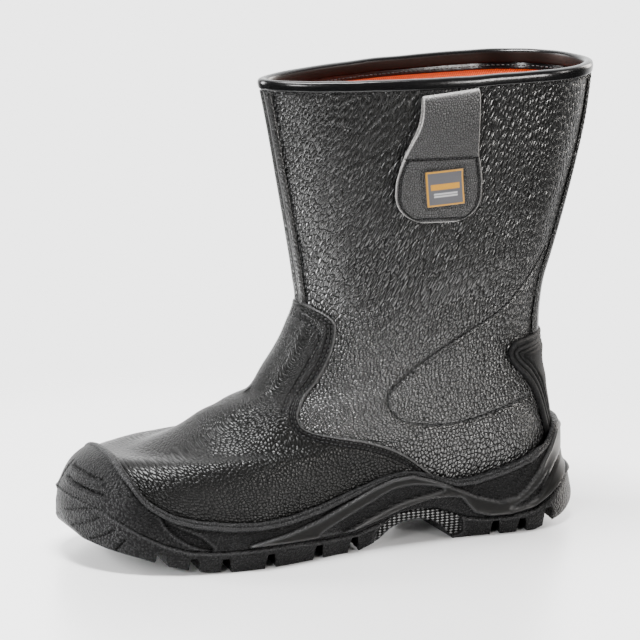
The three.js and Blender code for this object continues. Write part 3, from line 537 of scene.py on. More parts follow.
class Shape:
    """Collects the points, faces and per-point values of one piece, then builds its mesh."""

    def __init__(self, name: str) -> None:
        """Starts an empty shape with the piece's name."""
        self.name = name
        self.points: list[Array] = []
        self.quads: list[Array] = []
        self.rims: list[list[int]] = []
        self.marks: dict[str, list[tuple[int, Array]]] = {}
        self.count = 0

    def add(self, points: Array, **marks: Array | float) -> Array:
        """Adds points with their named values.

        Args:
            points: The points, (..., 3).
            **marks: Values at the points, one number or three each.

        Returns:
            The points' numbers, in the shape of points without its last axis.
        """
        shape = points.shape[:-1]
        total = int(np.prod(shape))
        start = self.count
        self.points.append(points.reshape(-1, 3))
        for name, value in marks.items():
            wanted = (*shape, 3) if name == FLOW else shape
            block = np.broadcast_to(value, wanted).reshape(total, -1)
            self.marks.setdefault(name, []).append((start, block))
        self.count += total
        return np.arange(start, start + total).reshape(shape)

    def join(self, grid: Array, wrap: bool = False, turn: bool = False) -> None:
        """Lays faces over a grid of point numbers; wrap closes its rows into rings."""
        if wrap:
            grid = np.concatenate([grid, grid[:, :1]], axis=1)
        a, b, c, d = grid[:-1, :-1], grid[:-1, 1:], grid[1:, 1:], grid[1:, :-1]
        order = (a, d, c, b) if turn else (a, b, c, d)
        self.quads.append(np.stack([k.ravel() for k in order], axis=1))

    def face(self, corners: Iterable[int], turn: bool = False) -> None:
        """Adds one face with any number of corners."""
        face = [int(v) for v in corners]
        self.rims.append(face[::-1] if turn else face)

    def cap(self, ring: Array, turn: bool = False) -> None:
        """Closes a ring whose points pair up across its first point, with strips across it."""
        half = len(ring) // 2
        left, right = ring[: half + 1], np.r_[ring[0], ring[:half - 1:-1]][: half + 1]
        for i in range(half):
            corners = dict.fromkeys((left[i], left[i + 1], right[i + 1], right[i]))
            if len(corners) > 2:
                self.face(corners, turn)

    def sheet(self, points: Array, under: Array, rows: int, columns: int, **marks: Array | float) -> None:
        """Lays a sheet and closes it with a coarse back and narrow rims round it.

        Args:
            points: Where the front lies, (r, c, 3).
            under: Where the back lies, (r, c, 3).
            rows: The back keeps every such row.
            columns: The back keeps every such column.
            **marks: Values at the front's points.
        """
        front = self.add(points, **marks)
        self.join(front)
        keep, across = (np.unique(np.r_[np.arange(0, size, step), size - 1])
                        for size, step in zip(front.shape, (rows, columns)))
        rear = self.add(under[np.ix_(keep, across)])
        self.join(rear, turn=True)
        self._rim(front[0], rear[0], across, turn=True)
        self._rim(front[-1], rear[-1], across, turn=False)
        self._rim(front[:, 0], rear[:, 0], keep, turn=False)
        self._rim(front[:, -1], rear[:, -1], keep, turn=True)

    def _rim(self, front: Array, rear: Array, keep: Array, turn: bool) -> None:
        """Joins a fine border to a coarse one with a face per coarse step."""
        for i, (start, stop) in enumerate(zip(keep, keep[1:])):
            self.face([*front[start:stop + 1], rear[i + 1], rear[i]], turn)

    def build(self, finish: bpy.types.Material, slot: str, replaces: Iterable[str] = (),
              crease: float = 60.0) -> bpy.types.Object:
        """Makes the mesh, dresses it and fixes it to the boot.

        Args:
            finish: The piece's material.
            slot: Not used; the material slot of the record that it belongs to.
            replaces: CAD nodes that it stands for.
            crease: Faces that meet at more degrees than this keep a sharp edge.

        Returns:
            The finished piece.
        """
        points = np.concatenate(self.points)
        quads = np.concatenate(self.quads) if self.quads else np.zeros((0, 4), int)
        sizes = np.r_[np.full(len(quads), 4), [len(r) for r in self.rims]].astype(int)
        loops = np.r_[quads.ravel(), [v for r in self.rims for v in r]].astype(int)
        if self._volume(points, quads, self.rims) < 0:
            loops, sizes = loops[::-1], sizes[::-1]
        mesh = bpy.data.meshes.new(self.name)
        mesh.vertices.add(len(points))
        mesh.vertices.foreach_set("co", ((points - (HEEL_REST_X, 0, 0)) * METRES).ravel())
        mesh.loops.add(len(loops))
        mesh.loops.foreach_set("vertex_index", loops)
        mesh.polygons.add(len(sizes))
        mesh.polygons.foreach_set("loop_start", np.r_[0, np.cumsum(sizes)[:-1]])
        mesh.update(calc_edges=True)
        for name, blocks in self.marks.items():
            wide, kind, key = (3, "FLOAT_VECTOR", "vector") if name == FLOW else (1, "FLOAT", "value")
            values = np.zeros((len(points), wide), np.float32)
            for start, block in blocks:
                values[start:start + len(block)] = block
            mesh.attributes.new(name, kind, "POINT").data.foreach_set(key, values.ravel())
        mesh.validate()
        mesh.polygons.foreach_set("use_smooth", np.ones(len(mesh.polygons), bool))
        mesh.set_sharp_from_angle(angle=math.radians(crease))
        mesh.materials.append(finish)
        piece = bpy.data.objects.new(self.name, mesh)
        bpy.context.scene.collection.objects.link(piece)
        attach(piece, "root")
        if replaces:
            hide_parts(*replaces)
        return piece

    @staticmethod
    def _volume(points: Array, quads: Array, rims: list[list[int]]) -> float:
        """Six times the volume inside the faces, whose sign says which way they face."""
        fans = [(r[0], r[k], r[k + 1]) for r in rims for k in range(1, len(r) - 1)]
        halves = (quads[:, [0, 1, 2]], quads[:, [0, 2, 3]])
        corners = np.concatenate([*halves, np.array(fans, int).reshape(-1, 3)])
        a, b, c = (points[corners[:, k]] - points.mean(0) for k in range(3))
        return float((np.cross(a, b) * c).sum())


def flow_over(points: Array, middle: int = 0) -> Array:
    """Leather directions over a grid: around the boot, and up it.

    Args:
        points: The grid, (rows, columns, 3).
        middle: The column where the way around is zero.

    Returns:
        Vectors of (around, up, 0) in millimetres.
    """
    around = run_along(points, 1)
    around = around - around[:, middle:middle + 1]
    return np.stack([around, run_along(points, 0), np.zeros(around.shape)], axis=-1)


def even_levels(low: float, high: float, count: int, angles: Sequence[float]) -> Array:
    """Section numbers that are evenly far apart on the form, on average over some angles."""
    fine = np.linspace(low, high, 900)
    grid = LAST.point(fine[:, None], np.array(angles)[None, :])
    run = run_along(grid, 0).mean(1)
    return np.interp(np.linspace(0, run[-1], count), run, fine)


class Seam:
    """A sewn line over the boot, with the outward direction at each of its points."""

    SPACING = 0.35

    def __init__(self, points: Array, outward: Array) -> None:
        """Spaces the line's points evenly."""
        both = spaced(np.concatenate([points, outward], axis=1), self.SPACING, measured=3)
        self.points, self.outward = both[:, :3], unit(both[:, 3:])

    @classmethod
    def on_wall(cls, line: Array, side: Side, offset: float = 0.0) -> "Seam":
        """A seam over the side wall, from a line of the side view."""
        t, angle = LAST.place(line[:, 0], line[:, 1], side)
        return cls(LAST.form(t, angle, offset), LAST.normal(t, angle))

    def distance(self, points: Array) -> Array:
        """Distance of points from the seam."""
        return nearest(points, self.points)


# A row for each ring of a stitch: its place in lengths, then its girth and its height in radii
STITCH_RINGS = (
    (-0.5, 0.35, -1.4), (-0.42, 0.8, -0.7), (-0.2, 1.0, 0.05), (0.0, 1.0, 0.2),
    (0.2, 1.0, 0.05), (0.42, 0.8, -0.7), (0.5, 0.35, -1.4),
)


@dataclass
class Stitching:
    """Sewing thread that shows as a row of short stitches along seams."""

    pitch: float = 2.9
    length: float = 2.3
    radius: float = 0.34
    lift: float = 0.18
    sides: int = 6

    def sew(self, shape: Shape, seam: Seam) -> None:
        """Adds the stitches of one seam to a shape.

        Args:
            shape: The shape that holds the thread.
            seam: The line that is sewn.
        """
        run = run_along(seam.points)
        centres = np.arange(self.pitch / 2, run[-1] - self.pitch / 2, self.pitch)
        if not len(centres):
            return
        reach, girth, dip = np.array(STITCH_RINGS).T
        where = centres[:, None] + reach * self.length
        middle, up = (read_along(values, run, where) for values in (seam.points, seam.outward))
        up = unit(up)
        across = np.cross(unit(np.gradient(middle, axis=1)), up)
        middle = middle + up * (self.lift + dip * self.radius)[:, None]
        turn = np.linspace(0, 2 * math.pi, self.sides, endpoint=False)
        thick = (self.radius * girth)[:, None, None]
        rings = (middle[:, :, None] + across[:, :, None] * (np.cos(turn)[:, None] * thick)
                 + up[:, :, None] * (np.sin(turn)[:, None] * thick))
        for stitch in shape.add(rings):
            shape.join(stitch, wrap=True)
            shape.face(stitch[0], turn=True)
            shape.face(stitch[-1])


# ---------------------------------------------------------------------------------------------
# Finishes
# ---------------------------------------------------------------------------------------------

class Signal:
    """A number that varies over a surface: one socket, with arithmetic."""

    def __init__(self, graph: "Graph", socket: bpy.types.NodeSocket) -> None:
        """Wraps a socket of a graph."""
        self.graph = graph
        self.socket = socket

    def _maths(self, operation: str, *terms: "Signal | float") -> "Signal":
        """Adds one Math node over the terms."""
        return self.graph.node("ShaderNodeMath", {"operation": operation}, dict(enumerate(terms)))

    def __add__(self, other: "Signal | float") -> "Signal":
        """Adds."""
        return self._maths("ADD", self, other)

    def __sub__(self, other: "Signal | float") -> "Signal":
        """Subtracts."""
        return self._maths("SUBTRACT", self, other)

    def __rsub__(self, other: float) -> "Signal":
        """Subtracts from a number."""
        return self._maths("SUBTRACT", other, self)

    def __mul__(self, other: "Signal | float") -> "Signal":
        """Multiplies."""
        return self._maths("MULTIPLY", self, other)

    def __truediv__(self, other: "Signal | float") -> "Signal":
        """Divides."""
        return self._maths("DIVIDE", self, other)

    __radd__ = __add__
    __rmul__ = __mul__

    def wave(self) -> "Signal":
        """The sine of the number."""
        return self._maths("SINE", self)

    def bigger(self, other: "Signal | float") -> "Signal":
        """The larger of two numbers."""
        return self._maths("MAXIMUM", self, other)

    def smaller(self, other: "Signal | float") -> "Signal":
        """The smaller of two numbers."""
        return self._maths("MINIMUM", self, other)

    def ripple(self) -> "Signal":
        """The sine of the number, moved to lie between 0 and 1."""
        return self.wave() * 0.5 + 0.5

    def stripes(self, pitch: float) -> "Signal":
        """Soft stripes between 0 and 1 across a length, one in each pitch."""
        return (self * (2 * math.pi / pitch)).ripple()

    def eased(self, low: float, high: float, start: float = 0.0, stop: float = 1.0) -> "Signal":
        """Goes smoothly from start at low to stop at high."""
        return self.graph.node(
            "ShaderNodeMapRange",
            {"interpolation_type": "SMOOTHSTEP"},
            {0: self, 1: low, 2: high, 3: start, 4: stop},
        )


class Graph:
    """The nodes of one material."""

    def __init__(self, name: str) -> None:
        """Makes a material with a Principled shader."""
        self.material = bpy.data.materials.new(name)
        self.material.use_nodes = True
        self.nodes = self.material.node_tree.nodes
        self.links = self.material.node_tree.links
        self.shader = next(n for n in self.nodes if n.type == "BSDF_PRINCIPLED")

    def node(self, kind: str, settings: dict, sockets: dict, output: int | str = 0) -> Signal:
        """Adds a node.

        Args:
            kind: The node's type.
            settings: Its settings, such as an operation, or a ramp's stops.
            sockets: Values or links of its sockets, by name or number.
            output: The output that is wanted.

        Returns:
            The wanted output.
        """
        made = self.nodes.new(kind)
        for name, value in settings.items():
            if name == "stops":
                self._stops(made.color_ramp, value)
            else:
                setattr(made, name, value)
        for name, value in sockets.items():
            self.put(made.inputs[name], value)
        return Signal(self, made.outputs[output])

    @staticmethod
    def _stops(ramp: bpy.types.ColorRamp, stops: Sequence[tuple[float, Colour]]) -> None:
        """Sets a ramp's stops."""
        while len(ramp.elements) < len(stops):
            ramp.elements.new(1.0)
        for element, (place, colour) in zip(ramp.elements, stops):
            element.position = place
            element.color = (*colour, 1.0)

    def put(self, socket: bpy.types.NodeSocket, value: "Signal | float | Sequence[float]") -> None:
        """Links a signal to a socket, or sets the socket's value."""
        if isinstance(value, Signal):
            self.links.new(value.socket, socket)
        elif isinstance(value, tuple) and len(value) == 3 and socket.type == "RGBA":
            socket.default_value = (*value, 1.0)
        else:
            socket.default_value = value

    def mark(self, name: str, output: str = "Fac") -> Signal:
        """Reads a per-point value of the mesh."""
        return self.node("ShaderNodeAttribute", {"attribute_name": name}, {}, output)

    def flow(self) -> Signal:
        """Reads the leather's own directions, in millimetres."""
        return self.mark(FLOW, "Vector")

    def place(self) -> Signal:
        """The place on the object, in millimetres."""
        return self.vector("MULTIPLY", self.node("ShaderNodeTexCoord", {}, {}, "Object"), 1 / METRES)

    def vector(self, operation: str, first: Signal, second: "Signal | float | Sequence[float]",
               output: int | str = 0) -> Signal:
        """Vector maths; a plain number counts for each of the vector's three parts."""
        second = (second,) * 3 if isinstance(second, (int, float)) else second
        return self.node("ShaderNodeVectorMath", {"operation": operation}, {0: first, 1: second}, output)

    def part(self, vector: Signal, axis: str) -> Signal:
        """One part of a vector."""
        return self.node("ShaderNodeSeparateXYZ", {}, {0: vector}, axis)

    def warped(self, vector: Signal, size: float, amount: float) -> Signal:
        """Pushes a vector about by soft noise.

        Args:
            vector: The place to push, in millimetres.
            size: How large the noise is, in millimetres.
            amount: How far it pushes, in millimetres.

        Returns:
            The pushed place.
        """
        centred = self.vector("ADD", self.noise(vector, size, 1.0, "Color"), -0.5)
        return self.vector("ADD", vector, self.vector("MULTIPLY", centred, 2 * amount))

    def noise(self, vector: Signal, size: float, detail: float = 2.0, output: int | str = 0) -> Signal:
        """Soft noise between 0 and 1, of a size in millimetres."""
        where = self.vector("MULTIPLY", vector, 1 / size)
        return self.node("ShaderNodeTexNoise", {}, {"Vector": where, "Scale": 1.0, "Detail": detail}, output)

    def cells(self, vector: Signal, size: Sequence[float], feature: str = "DISTANCE_TO_EDGE",
              dimensions: str = "2D") -> Signal:
        """Cell pattern: the distance to the cells' borders, or to their middles."""
        where = self.vector("MULTIPLY", vector, tuple(1 / s for s in size))
        return self.node(
            "ShaderNodeTexVoronoi",
            {"voronoi_dimensions": dimensions, "feature": feature},
            {"Vector": where, "Scale": 1.0, "Randomness": 1.0},
            "Distance",
        )

    def blend(self, share: "Signal | float", first: "Signal | Colour", second: "Signal | Colour") -> Signal:
        """Mixes two colours."""
        made = self.nodes.new("ShaderNodeMix")
        made.data_type = "RGBA"
        self.put(made.inputs[0], share)
        self.put(made.inputs[6], first)
        self.put(made.inputs[7], second)
        return Signal(self, made.outputs[2])

    def dress(self, colour: "Signal | Colour", roughness: "Signal | float", height: "Signal | None" = None,
              **constants: float) -> bpy.types.Material:
        """Fills in the shader.

        Args:
            colour: Base colour.
            roughness: Roughness.
            height: Relief in millimetres.
            **constants: Other sockets' constants, with _ for a space.

        Returns:
            The material.
        """
        self.put(self.shader.inputs["Base Color"], colour)
        self.put(self.shader.inputs["Roughness"], roughness)
        for name, value in constants.items():
            self.put(self.shader.inputs[name.replace("_", " ")], value)
        if height is not None:
            bump = self.node("ShaderNodeBump", {}, {"Strength": 1.0, "Distance": METRES, "Height": height})
            self.put(self.shader.inputs["Normal"], bump)
        return self.material


@dataclass(frozen=True)
class GrainLeather:
    """Heavy pebbled leather with a glossy top coat."""

    name: str
    colour: Colour = (0.0045, 0.0044, 0.0042)
    # Painted shade: the colour of the grain's valleys and of the sunk seams.
    valley_shade: Colour = (0.001, 0.001, 0.001)
    # Painted highlight along the marked edges and folds.
    edge_highlight: Colour = (0.06, 0.06, 0.06)
    pebble_width: float = 2.05
    pebble_length: float = 2.9
    relief: float = 0.78
    gloss: float = 0.25
    groove: float = 1.0
    shine: float = 0.95

    def material(self) -> bpy.types.Material:
        """Builds the leather's nodes."""
        g = Graph(self.name)
        flow = g.flow()
        strength = g.mark("relief")
        bent = g.warped(g.warped(flow, 26.0, 1.4), 5.0, 0.55)
        size = (self.pebble_width, self.pebble_length, 1.0)
        large, middles = g.cells(bent, size), g.cells(bent, size, "F1")
        small = g.cells(g.warped(flow, 2.5, 0.35), (0.5 * size[0], 0.45 * size[1], 1.0))
        pebble = large.eased(0.0, 0.2)
        fine = small.eased(0.0, 0.3)
        grain = (pebble * 0.25 + (1.0 - middles * middles * 1.6) * 0.75 + fine * 0.03) * strength
        pores = g.noise(flow, 0.4)
        sunk = g.mark("seam").eased(0.2, 0.9, 1.0, 0.0)
        height = grain * self.relief + pores * 0.03 - sunk * self.groove
        # Painted shade: the grain's valleys and the sunk seams take the darker valley colour, and Metallic
        # over that near-black colour removes their reflection.
        shade = (pebble * 0.85 + fine * 0.15).bigger(1.0 - strength)
        patches = g.noise(flow, 34.0)
        colour = g.blend(shade.smaller(1.0 - sunk * 0.8), self.valley_shade, self.colour)
        # Painted highlight: the lighter edge colour along the marked edges and folds.
        cut = g.blend(g.mark("edge"), colour, self.edge_highlight)
        rough = self.gloss + (1.0 - shade) * 0.28 + (patches - 0.5) * 0.10 + sunk * 0.2
        # Painted shade in the valleys and seams, made by Metallic.
        painted_valley_shade = (1.0 - shade).bigger(sunk * 0.9)
        g.put(g.shader.inputs["Metallic"], painted_valley_shade * 0.92)
        return g.dress(cut, rough, height, Specular_IOR_Level=self.shine)


@dataclass(frozen=True)
class SmoothTrim:
    """Smooth satin leather or coated tape."""

    name: str
    colour: Colour = (0.004, 0.004, 0.0042)
    inner_colour: Colour = (0.008, 0.0032, 0.002)
    gloss: float = 0.2

    def material(self) -> bpy.types.Material:
        """Builds the trim's nodes."""
        g = Graph(self.name)
        place, inner = g.place(), g.mark("edge")
        wrinkles = g.noise(place, 1.6, 3.0)
        colour = g.blend(inner, self.colour, self.inner_colour)
        height = wrinkles * 0.04 + g.noise(place, 0.35) * 0.008
        # Painted shade on the tape's inner face: Metallic over its dark brown colour removes its reflection.
        g.put(g.shader.inputs["Metallic"], inner * 0.8)
        rough = self.gloss + inner * 0.3 + (wrinkles - 0.5) * 0.2
        return g.dress(colour, rough, height, Specular_IOR_Level=0.3)


@dataclass(frozen=True)
class MouldedRubber:
    """Rubber from a blasted mould, with smooth polished bands."""

    name: str
    colour: Colour = (0.005, 0.005, 0.0052)
    band_colour: Colour = (0.0045, 0.0044, 0.0042)
    # Painted highlight on the raised lips and rims.
    lip_highlight_colour: Colour = (0.05, 0.05, 0.051)
    # Painted highlight on the tops of the diamond studs.
    stud_highlight_colour: Colour = (0.10, 0.10, 0.10)
    # Painted shade in grooves, slots and between the studs.
    hollow_shade_colour: Colour = (0.001, 0.001, 0.001)
    grit: float = 0.7
    grit_size: float = 1.35
    roughness: float = 0.46
    band_roughness: float = 0.42
    stud_lean: tuple[float, float] = (1.04, 1.95)

    def material(self) -> bpy.types.Material:
        """Builds the rubber's nodes."""
        g = Graph(self.name)
        place = g.place()
        band = g.mark("band")
        speckle = g.cells(place, (self.grit_size,) * 3, "F1", "3D")
        dust = g.noise(place, 0.45)
        bumps = (1.0 - speckle.eased(0.1, 0.75)) * 0.8 + dust * 0.5
        flow = g.flow()
        along, up = (g.part(flow, axis) * lean for axis, lean in zip("XY", self.stud_lean))
        diamond = ((along + up).wave() * (along - up).wave()).eased(-0.1, 0.5)
        lattice = g.mark("lattice")
        studs = diamond * lattice
        rough_part = 1.0 - band.bigger(lattice)
        height = bumps * rough_part * self.grit + dust * 0.015 + studs * 0.7
        base = g.blend(band, self.colour, self.band_colour)
        # Painted highlight on the raised lips and rims, through the lip mark.
        lit = g.blend(g.mark("lip") * 0.6, base, self.lip_highlight_colour)
        # Painted highlight on the tops of the diamond studs.
        studs_lit = g.blend(studs, lit, self.stud_highlight_colour)
        # Painted shade in the grooves, slots and between the studs: near-black colour, and Metallic that
        # removes their reflection.
        deep = (g.mark("groove") + (1.0 - diamond) * lattice * 0.9).smaller(1.0) * 0.95
        mottled_and_shaded = g.blend((bumps * rough_part * 0.35).bigger(deep), studs_lit, self.hollow_shade_colour)
        # Less reflection on the blasted rubber and the band, and painted shade in the hollows.
        matt_and_hollow_shade = (rough_part * (0.95 - bumps * 0.6)).bigger(deep).bigger(band * 0.8)
        g.put(g.shader.inputs["Metallic"], matt_and_hollow_shade)
        rough = self.roughness - band * (self.roughness - self.band_roughness) - studs * 0.25
        return g.dress(mottled_and_shaded, rough + (dust - 0.5) * 0.12, height, Specular_IOR_Level=0.24)


@dataclass(frozen=True)
class RibbedLining:
    """Orange knitted lining with upright ribs."""

    name: str
    colour: Colour = (1.0, 0.13, 0.0)
    shade: Colour = (0.36, 0.03, 0.0)
    pitch: float = 1.35
    knit_pitch: float = 0.8

    def material(self) -> bpy.types.Material:
        """Builds the lining's nodes."""
        g = Graph(self.name)
        flow = g.flow()
        ribs, knit = g.part(flow, "X").stripes(self.pitch), g.part(flow, "Y").stripes(self.knit_pitch)
        fuzz = g.noise(flow, 0.5, 3.0)
        height = ribs * 0.28 + knit * 0.06 + fuzz * 0.1
        colour = g.blend(ribs * 0.75 + fuzz * 0.25, self.shade, self.colour)
        return g.dress(colour, 0.85, height, Sheen_Weight=0.3, Sheen_Roughness=0.5)


@dataclass(frozen=True)
class SewingThread:
    """Waxed, twisted thread."""

    name: str
    colour: Colour = (0.008, 0.008, 0.0085)
    shade: Colour = (0.002, 0.002, 0.002)

    def material(self) -> bpy.types.Material:
        """Builds the thread's nodes."""
        g = Graph(self.name)
        place = g.place()
        turned = (g.part(place, "X") + g.part(place, "Z") * 0.8 + g.part(place, "Y") * 0.5) * 11.0
        twist = turned.ripple()
        return g.dress(g.blend(twist, self.shade, self.colour), 0.42, twist * 0.07)


@dataclass(frozen=True)
class WovenPatch:
    """Grey woven tape with a yellow border and plain bars; each colour is in shade and in light."""

    name: str
    ground: tuple[Colour, Colour] = (0.05, 0.05, 0.056), (0.085, 0.085, 0.095)
    yellow: tuple[Colour, Colour] = (0.22, 0.10, 0.002), (0.66, 0.32, 0.0)
    white: tuple[Colour, Colour] = (0.3, 0.3, 0.3), (0.55, 0.55, 0.55)
    thread: float = 0.42

    def material(self) -> bpy.types.Material:
        """Builds the patch's nodes."""
        g = Graph(self.name)
        flow = g.flow()
        warp, weft = (g.part(flow, axis).stripes(self.thread) for axis in "XY")
        weave = warp * 0.5 + weft * 0.5
        ground, yellow, white = (g.blend(weave, *pair) for pair in (self.ground, self.yellow, self.white))
        bars = g.blend(g.mark("bar"), ground, yellow)
        lines = g.blend(g.mark("line"), bars, white)
        edged = g.blend(g.mark("edge"), lines, yellow)
        fuzz = g.noise(flow, 0.3)
        return g.dress(edged, 0.78, weave * 0.12 + fuzz * 0.05, Sheen_Weight=0.2)


@dataclass(frozen=True)
class FeltFootbed:
    """Dark felted covering of the removable insole."""

    name: str
    colour: Colour = (0.03, 0.03, 0.034)
    shade: Colour = (0.012, 0.012, 0.014)

    def material(self) -> bpy.types.Material:
        """Builds the felt's nodes."""
        g = Graph(self.name)
        place = g.place()
        fibres = g.noise(g.vector("MULTIPLY", place, (1.0, 3.0, 1.0)), 0.8, 4.0)
        tufts = g.noise(place, 3.0)
        colour = g.blend(fibres, self.shade, self.colour)
        return g.dress(colour, 0.92, fibres * 0.25 + tufts * 0.2, Sheen_Weight=0.4)


# ---------------------------------------------------------------------------------------------
# The upper
# ---------------------------------------------------------------------------------------------


def both_seams(line: Sequence[Sequence[float]], offset: float) -> list[Seam]:
    """The same side-view seam on the lateral and on the medial side."""
    dense = curve_through(line)
    return [Seam.on_wall(dense, side, offset) for side in Side]


def nearest_of(seams: Iterable[Seam], points: Array) -> Array:
    """Distance of points from the nearest of several seams."""
    return np.min([seam.distance(points) for seam in seams], axis=0)


def panel_depth(base: Array, reach: float) -> Array:
    """Distance of a panel's points from its border, which is all but its lowest row."""
    border = np.concatenate([base[:, 0], base[-1], base[::-1, -1]])
    return nearest(base, spaced(border, Seam.SPACING), reach)


def mirrored_shares(half_columns: int, even: float) -> Array:
    """Places from one edge of a panel to the other, closer together near the edges.

    Args:
        half_columns: Steps from the middle to an edge.
        even: Share of the spacing that is even.

    Returns:
        The places, from -1 to 1.
    """
    step = np.linspace(0, 1, half_columns + 1)
    share = 1 - (even * step + (1 - even) * step**2)
    return np.r_[-share, share[-2::-1]]


def edge_angles(t: Array, line: Sequence[Sequence[float]], turn: Array, back: bool) -> Array:
    """How far each level of a panel reaches round the boot up to an edge of the side view.

    Args:
        t: The levels' section numbers.
        line: The edge in the side view, from its top down.
        turn: The angles to try, from the panel's middle outward.
        back: Whether the panel's middle is on the back line, else on the front line.

    Returns:
        One angle per level, without small steps.
    """
    edge = curve_through(line)[::-1]
    angles = []
    for level in t:
        points = LAST.point(np.full(turn.shape, level), math.pi - turn if back else turn)
        limit = np.interp(points[:, 2], edge[:, 1], edge[:, 0])
        beyond = points[:, 0] < limit if back else points[:, 0] > limit
        angles.append(turn[int(np.argmax(beyond))] if beyond.any() else turn[-1])
    padded = np.pad(np.array(angles), 2, mode="reflect", reflect_type="odd")
    return np.convolve(padded, np.array([1, 2, 3, 2, 1]) / 9, mode="valid")


@dataclass
class Shaft:
    """The tall leather tube with its lining, facing, binding, front piping and back stay."""

    rows: int = 188
    columns: int = 480
    leather: float = 1.95
    lining_thickness: float = 0.35
    sunk: float = 0.1
    even_level: float = 12.5
    evenness: float = 0.55
    groove_depth: float = 0.35
    unevenness: float = 0.22
    piping_half: float = 6.0
    stay_half: float = 23.0
    facing_drop: float = 9.6
    facing_row: float = 8.2
    facing_face: float = 3.35
    holes_drop: float = 6.6
    stay_row: float = 2.2
    stitching: Stitching = field(default_factory=Stitching)

    def leather_tube(self, finish: bpy.types.Material) -> bpy.types.Object:
        """Builds the outer leather with its ankle seam."""
        shape = Shape("shaft_leather")
        t = even_levels(0.06, LAST.top, self.rows, (0.6, 1.57, 2.6, 3.14))
        angle = self._columns()
        base = LAST.point(t[:, None], angle[None, :])
        out = LAST.normal(t[:, None], angle[None, :])
        seam = nearest_of(both_seams(ANKLE_SEAM, 0.0), base)
        hollow = self.groove_depth * (0.7 * bell(seam, 2.2) + 1.2 * bell(seam, 0.7))
        uneven = np.minimum(self.unevenness * (waves(base, 26, 3) - 1.4), 0.0)
        height = uneven - hollow - 0.02 + self._folds(base)
        relief = self._relief(base) * (0.25 + 0.75 * smooth(seam, 0.9, 2.4))
        under = LAST.form(t[:, None], angle[None, :], -self.leather)
        shape.sheet(base + out * height[..., None], under, 12, 8,
                    flow=self._flow(base), relief=relief, seam=seam)
        return shape.build(finish, "shaft_leather", ["upper"])

    def _columns(self) -> Array:
        """Angles round the boot, evenly far apart near the collar."""
        fine = np.linspace(0, 2 * math.pi, 2001)
        run = run_along(LAST.point(np.full(fine.shape, self.even_level), fine))
        even = np.interp(np.linspace(0, run[-1], self.columns + 1), run, fine)
        return self.evenness * even + (1 - self.evenness) * np.linspace(0, 2 * math.pi, self.columns + 1)

    def _flow(self, base: Array) -> Array:
        """Leather directions, drawn out upwards where the pebbles run into upright wrinkles."""
        flow = flow_over(base, self.columns // 2)
        rise = np.diff(flow[..., 1], axis=0, prepend=0)
        x, z = base[..., 0], base[..., 2]
        drawn = smooth(z, 96, 130) * (1 - 0.4 * bell(x + 12, 26))
        flow[..., 1] = np.cumsum(rise * (1 - 0.3 * drawn), axis=0)
        return flow

    @staticmethod
    def _folds(base: Array) -> Array:
        """Soft hollows that wear leaves in the shaft, in millimetres outward."""
        x, z = base[..., 0], base[..., 2]
        hollow = -0.9 * bell(x - (22 + 0.05 * (z - 150)), 11) * plateau(z, (90, 150), (215, 245))
        ankle = -0.8 * bell(z - (128 + 0.35 * (x - 40)), 9) * plateau(x, (20, 60), (80, 110))
        return hollow + ankle

    @staticmethod
    def _relief(base: Array) -> Array:
        """How strong the grain is over the shaft."""
        x, z = base[..., 0], base[..., 2]
        middle = bell(x - 16, 18) * smooth(z, 150, 200)
        under_tab = bell(x - 52, 34) * bell(z - 158, 38)
        patch = 0.12 * waves(base, 60, 11)
        return np.clip(0.92 - 0.35 * middle + 0.45 * under_tab + patch, 0.3, 1.5)

    def lining(self, finish: bpy.types.Material) -> bpy.types.Object:
        """Builds the ribbed lining."""
        shape = Shape("shaft_lining")
        t = even_levels(0.25, LAST.top - 0.12, 70, (1.57, 3.14))
        angle = self._columns()[::2]
        points = LAST.form(t[:, None], angle[None, :], -UPPER_WALL)
        under = LAST.form(t[:, None], angle[None, :], self.lining_thickness - UPPER_WALL)
        shape.sheet(points, under, 4, 4, flow=flow_over(points))
        return shape.build(finish, "shaft_leather")

    @staticmethod
    def _ring_profile(profile: Sequence[tuple[float, float]], count: int) -> Array:
        """A smooth closed profile of offsets and heights over the collar's edge."""
        knots = np.array([*profile, profile[0]])
        return catmull(knots, np.linspace(0, len(knots) - 1, count, endpoint=False))

    @staticmethod
    def _under_edge(drop: Array | float) -> Array | float:
        """Section number at a distance under the collar's edge."""
        return LAST.top - drop / (LAST.rows[-1, 3] - LAST.rows[-2, 3])

    def _ring(self, profile: Array, angle: Array) -> Array:
        """Sweeps a profile round the collar."""
        t = self._under_edge(np.maximum(-profile[:, 1], 0))
        points = LAST.form(t[:, None], angle[None, :], profile[:, :1], level=True)
        points[..., 2] += np.maximum(profile[:, 1:], 0)
        return points

    def binding(self, finish: bpy.types.Material) -> bpy.types.Object:
        """Builds the tape that is folded over the collar's edge."""
        shape = Shape("collar_tape")
        profile = self._ring_profile([
            (0.35, -4.4), (1.2, -4.65), (1.75, -3.9), (1.85, -2.4), (1.75, -0.6), (1.2, 1.0), (0.0, 1.65),
            (-1.4, 1.8), (-2.8, 1.4), (-3.7, 0.4), (-4.0, -1.4), (-4.0, -3.6), (-3.8, -5.7), (-3.2, -6.2),
            (-2.8, -5.6), (-2.7, -3.0), (-2.7, 0.2), (-1.2, 0.7), (0.2, 0.2), (0.3, -2.4),
        ], 56)
        angle = self._columns()[:-1]
        points = self._ring(profile, angle)
        # The tape's inner face: browner, and with painted shade where the trim finish removes its reflection.
        inner = smooth(-profile[:, 0], 2.7, 3.4) * smooth(-profile[:, 1], -0.8, 0.6)
        points[..., 2] += 0.12 * waves(points, 30, 5)
        grid = shape.add(points, edge=inner[:, None])
        shape.join(np.concatenate([grid, grid[:1]]), wrap=True)
        return shape.build(finish, "trim_leather", ["collar_binding"])

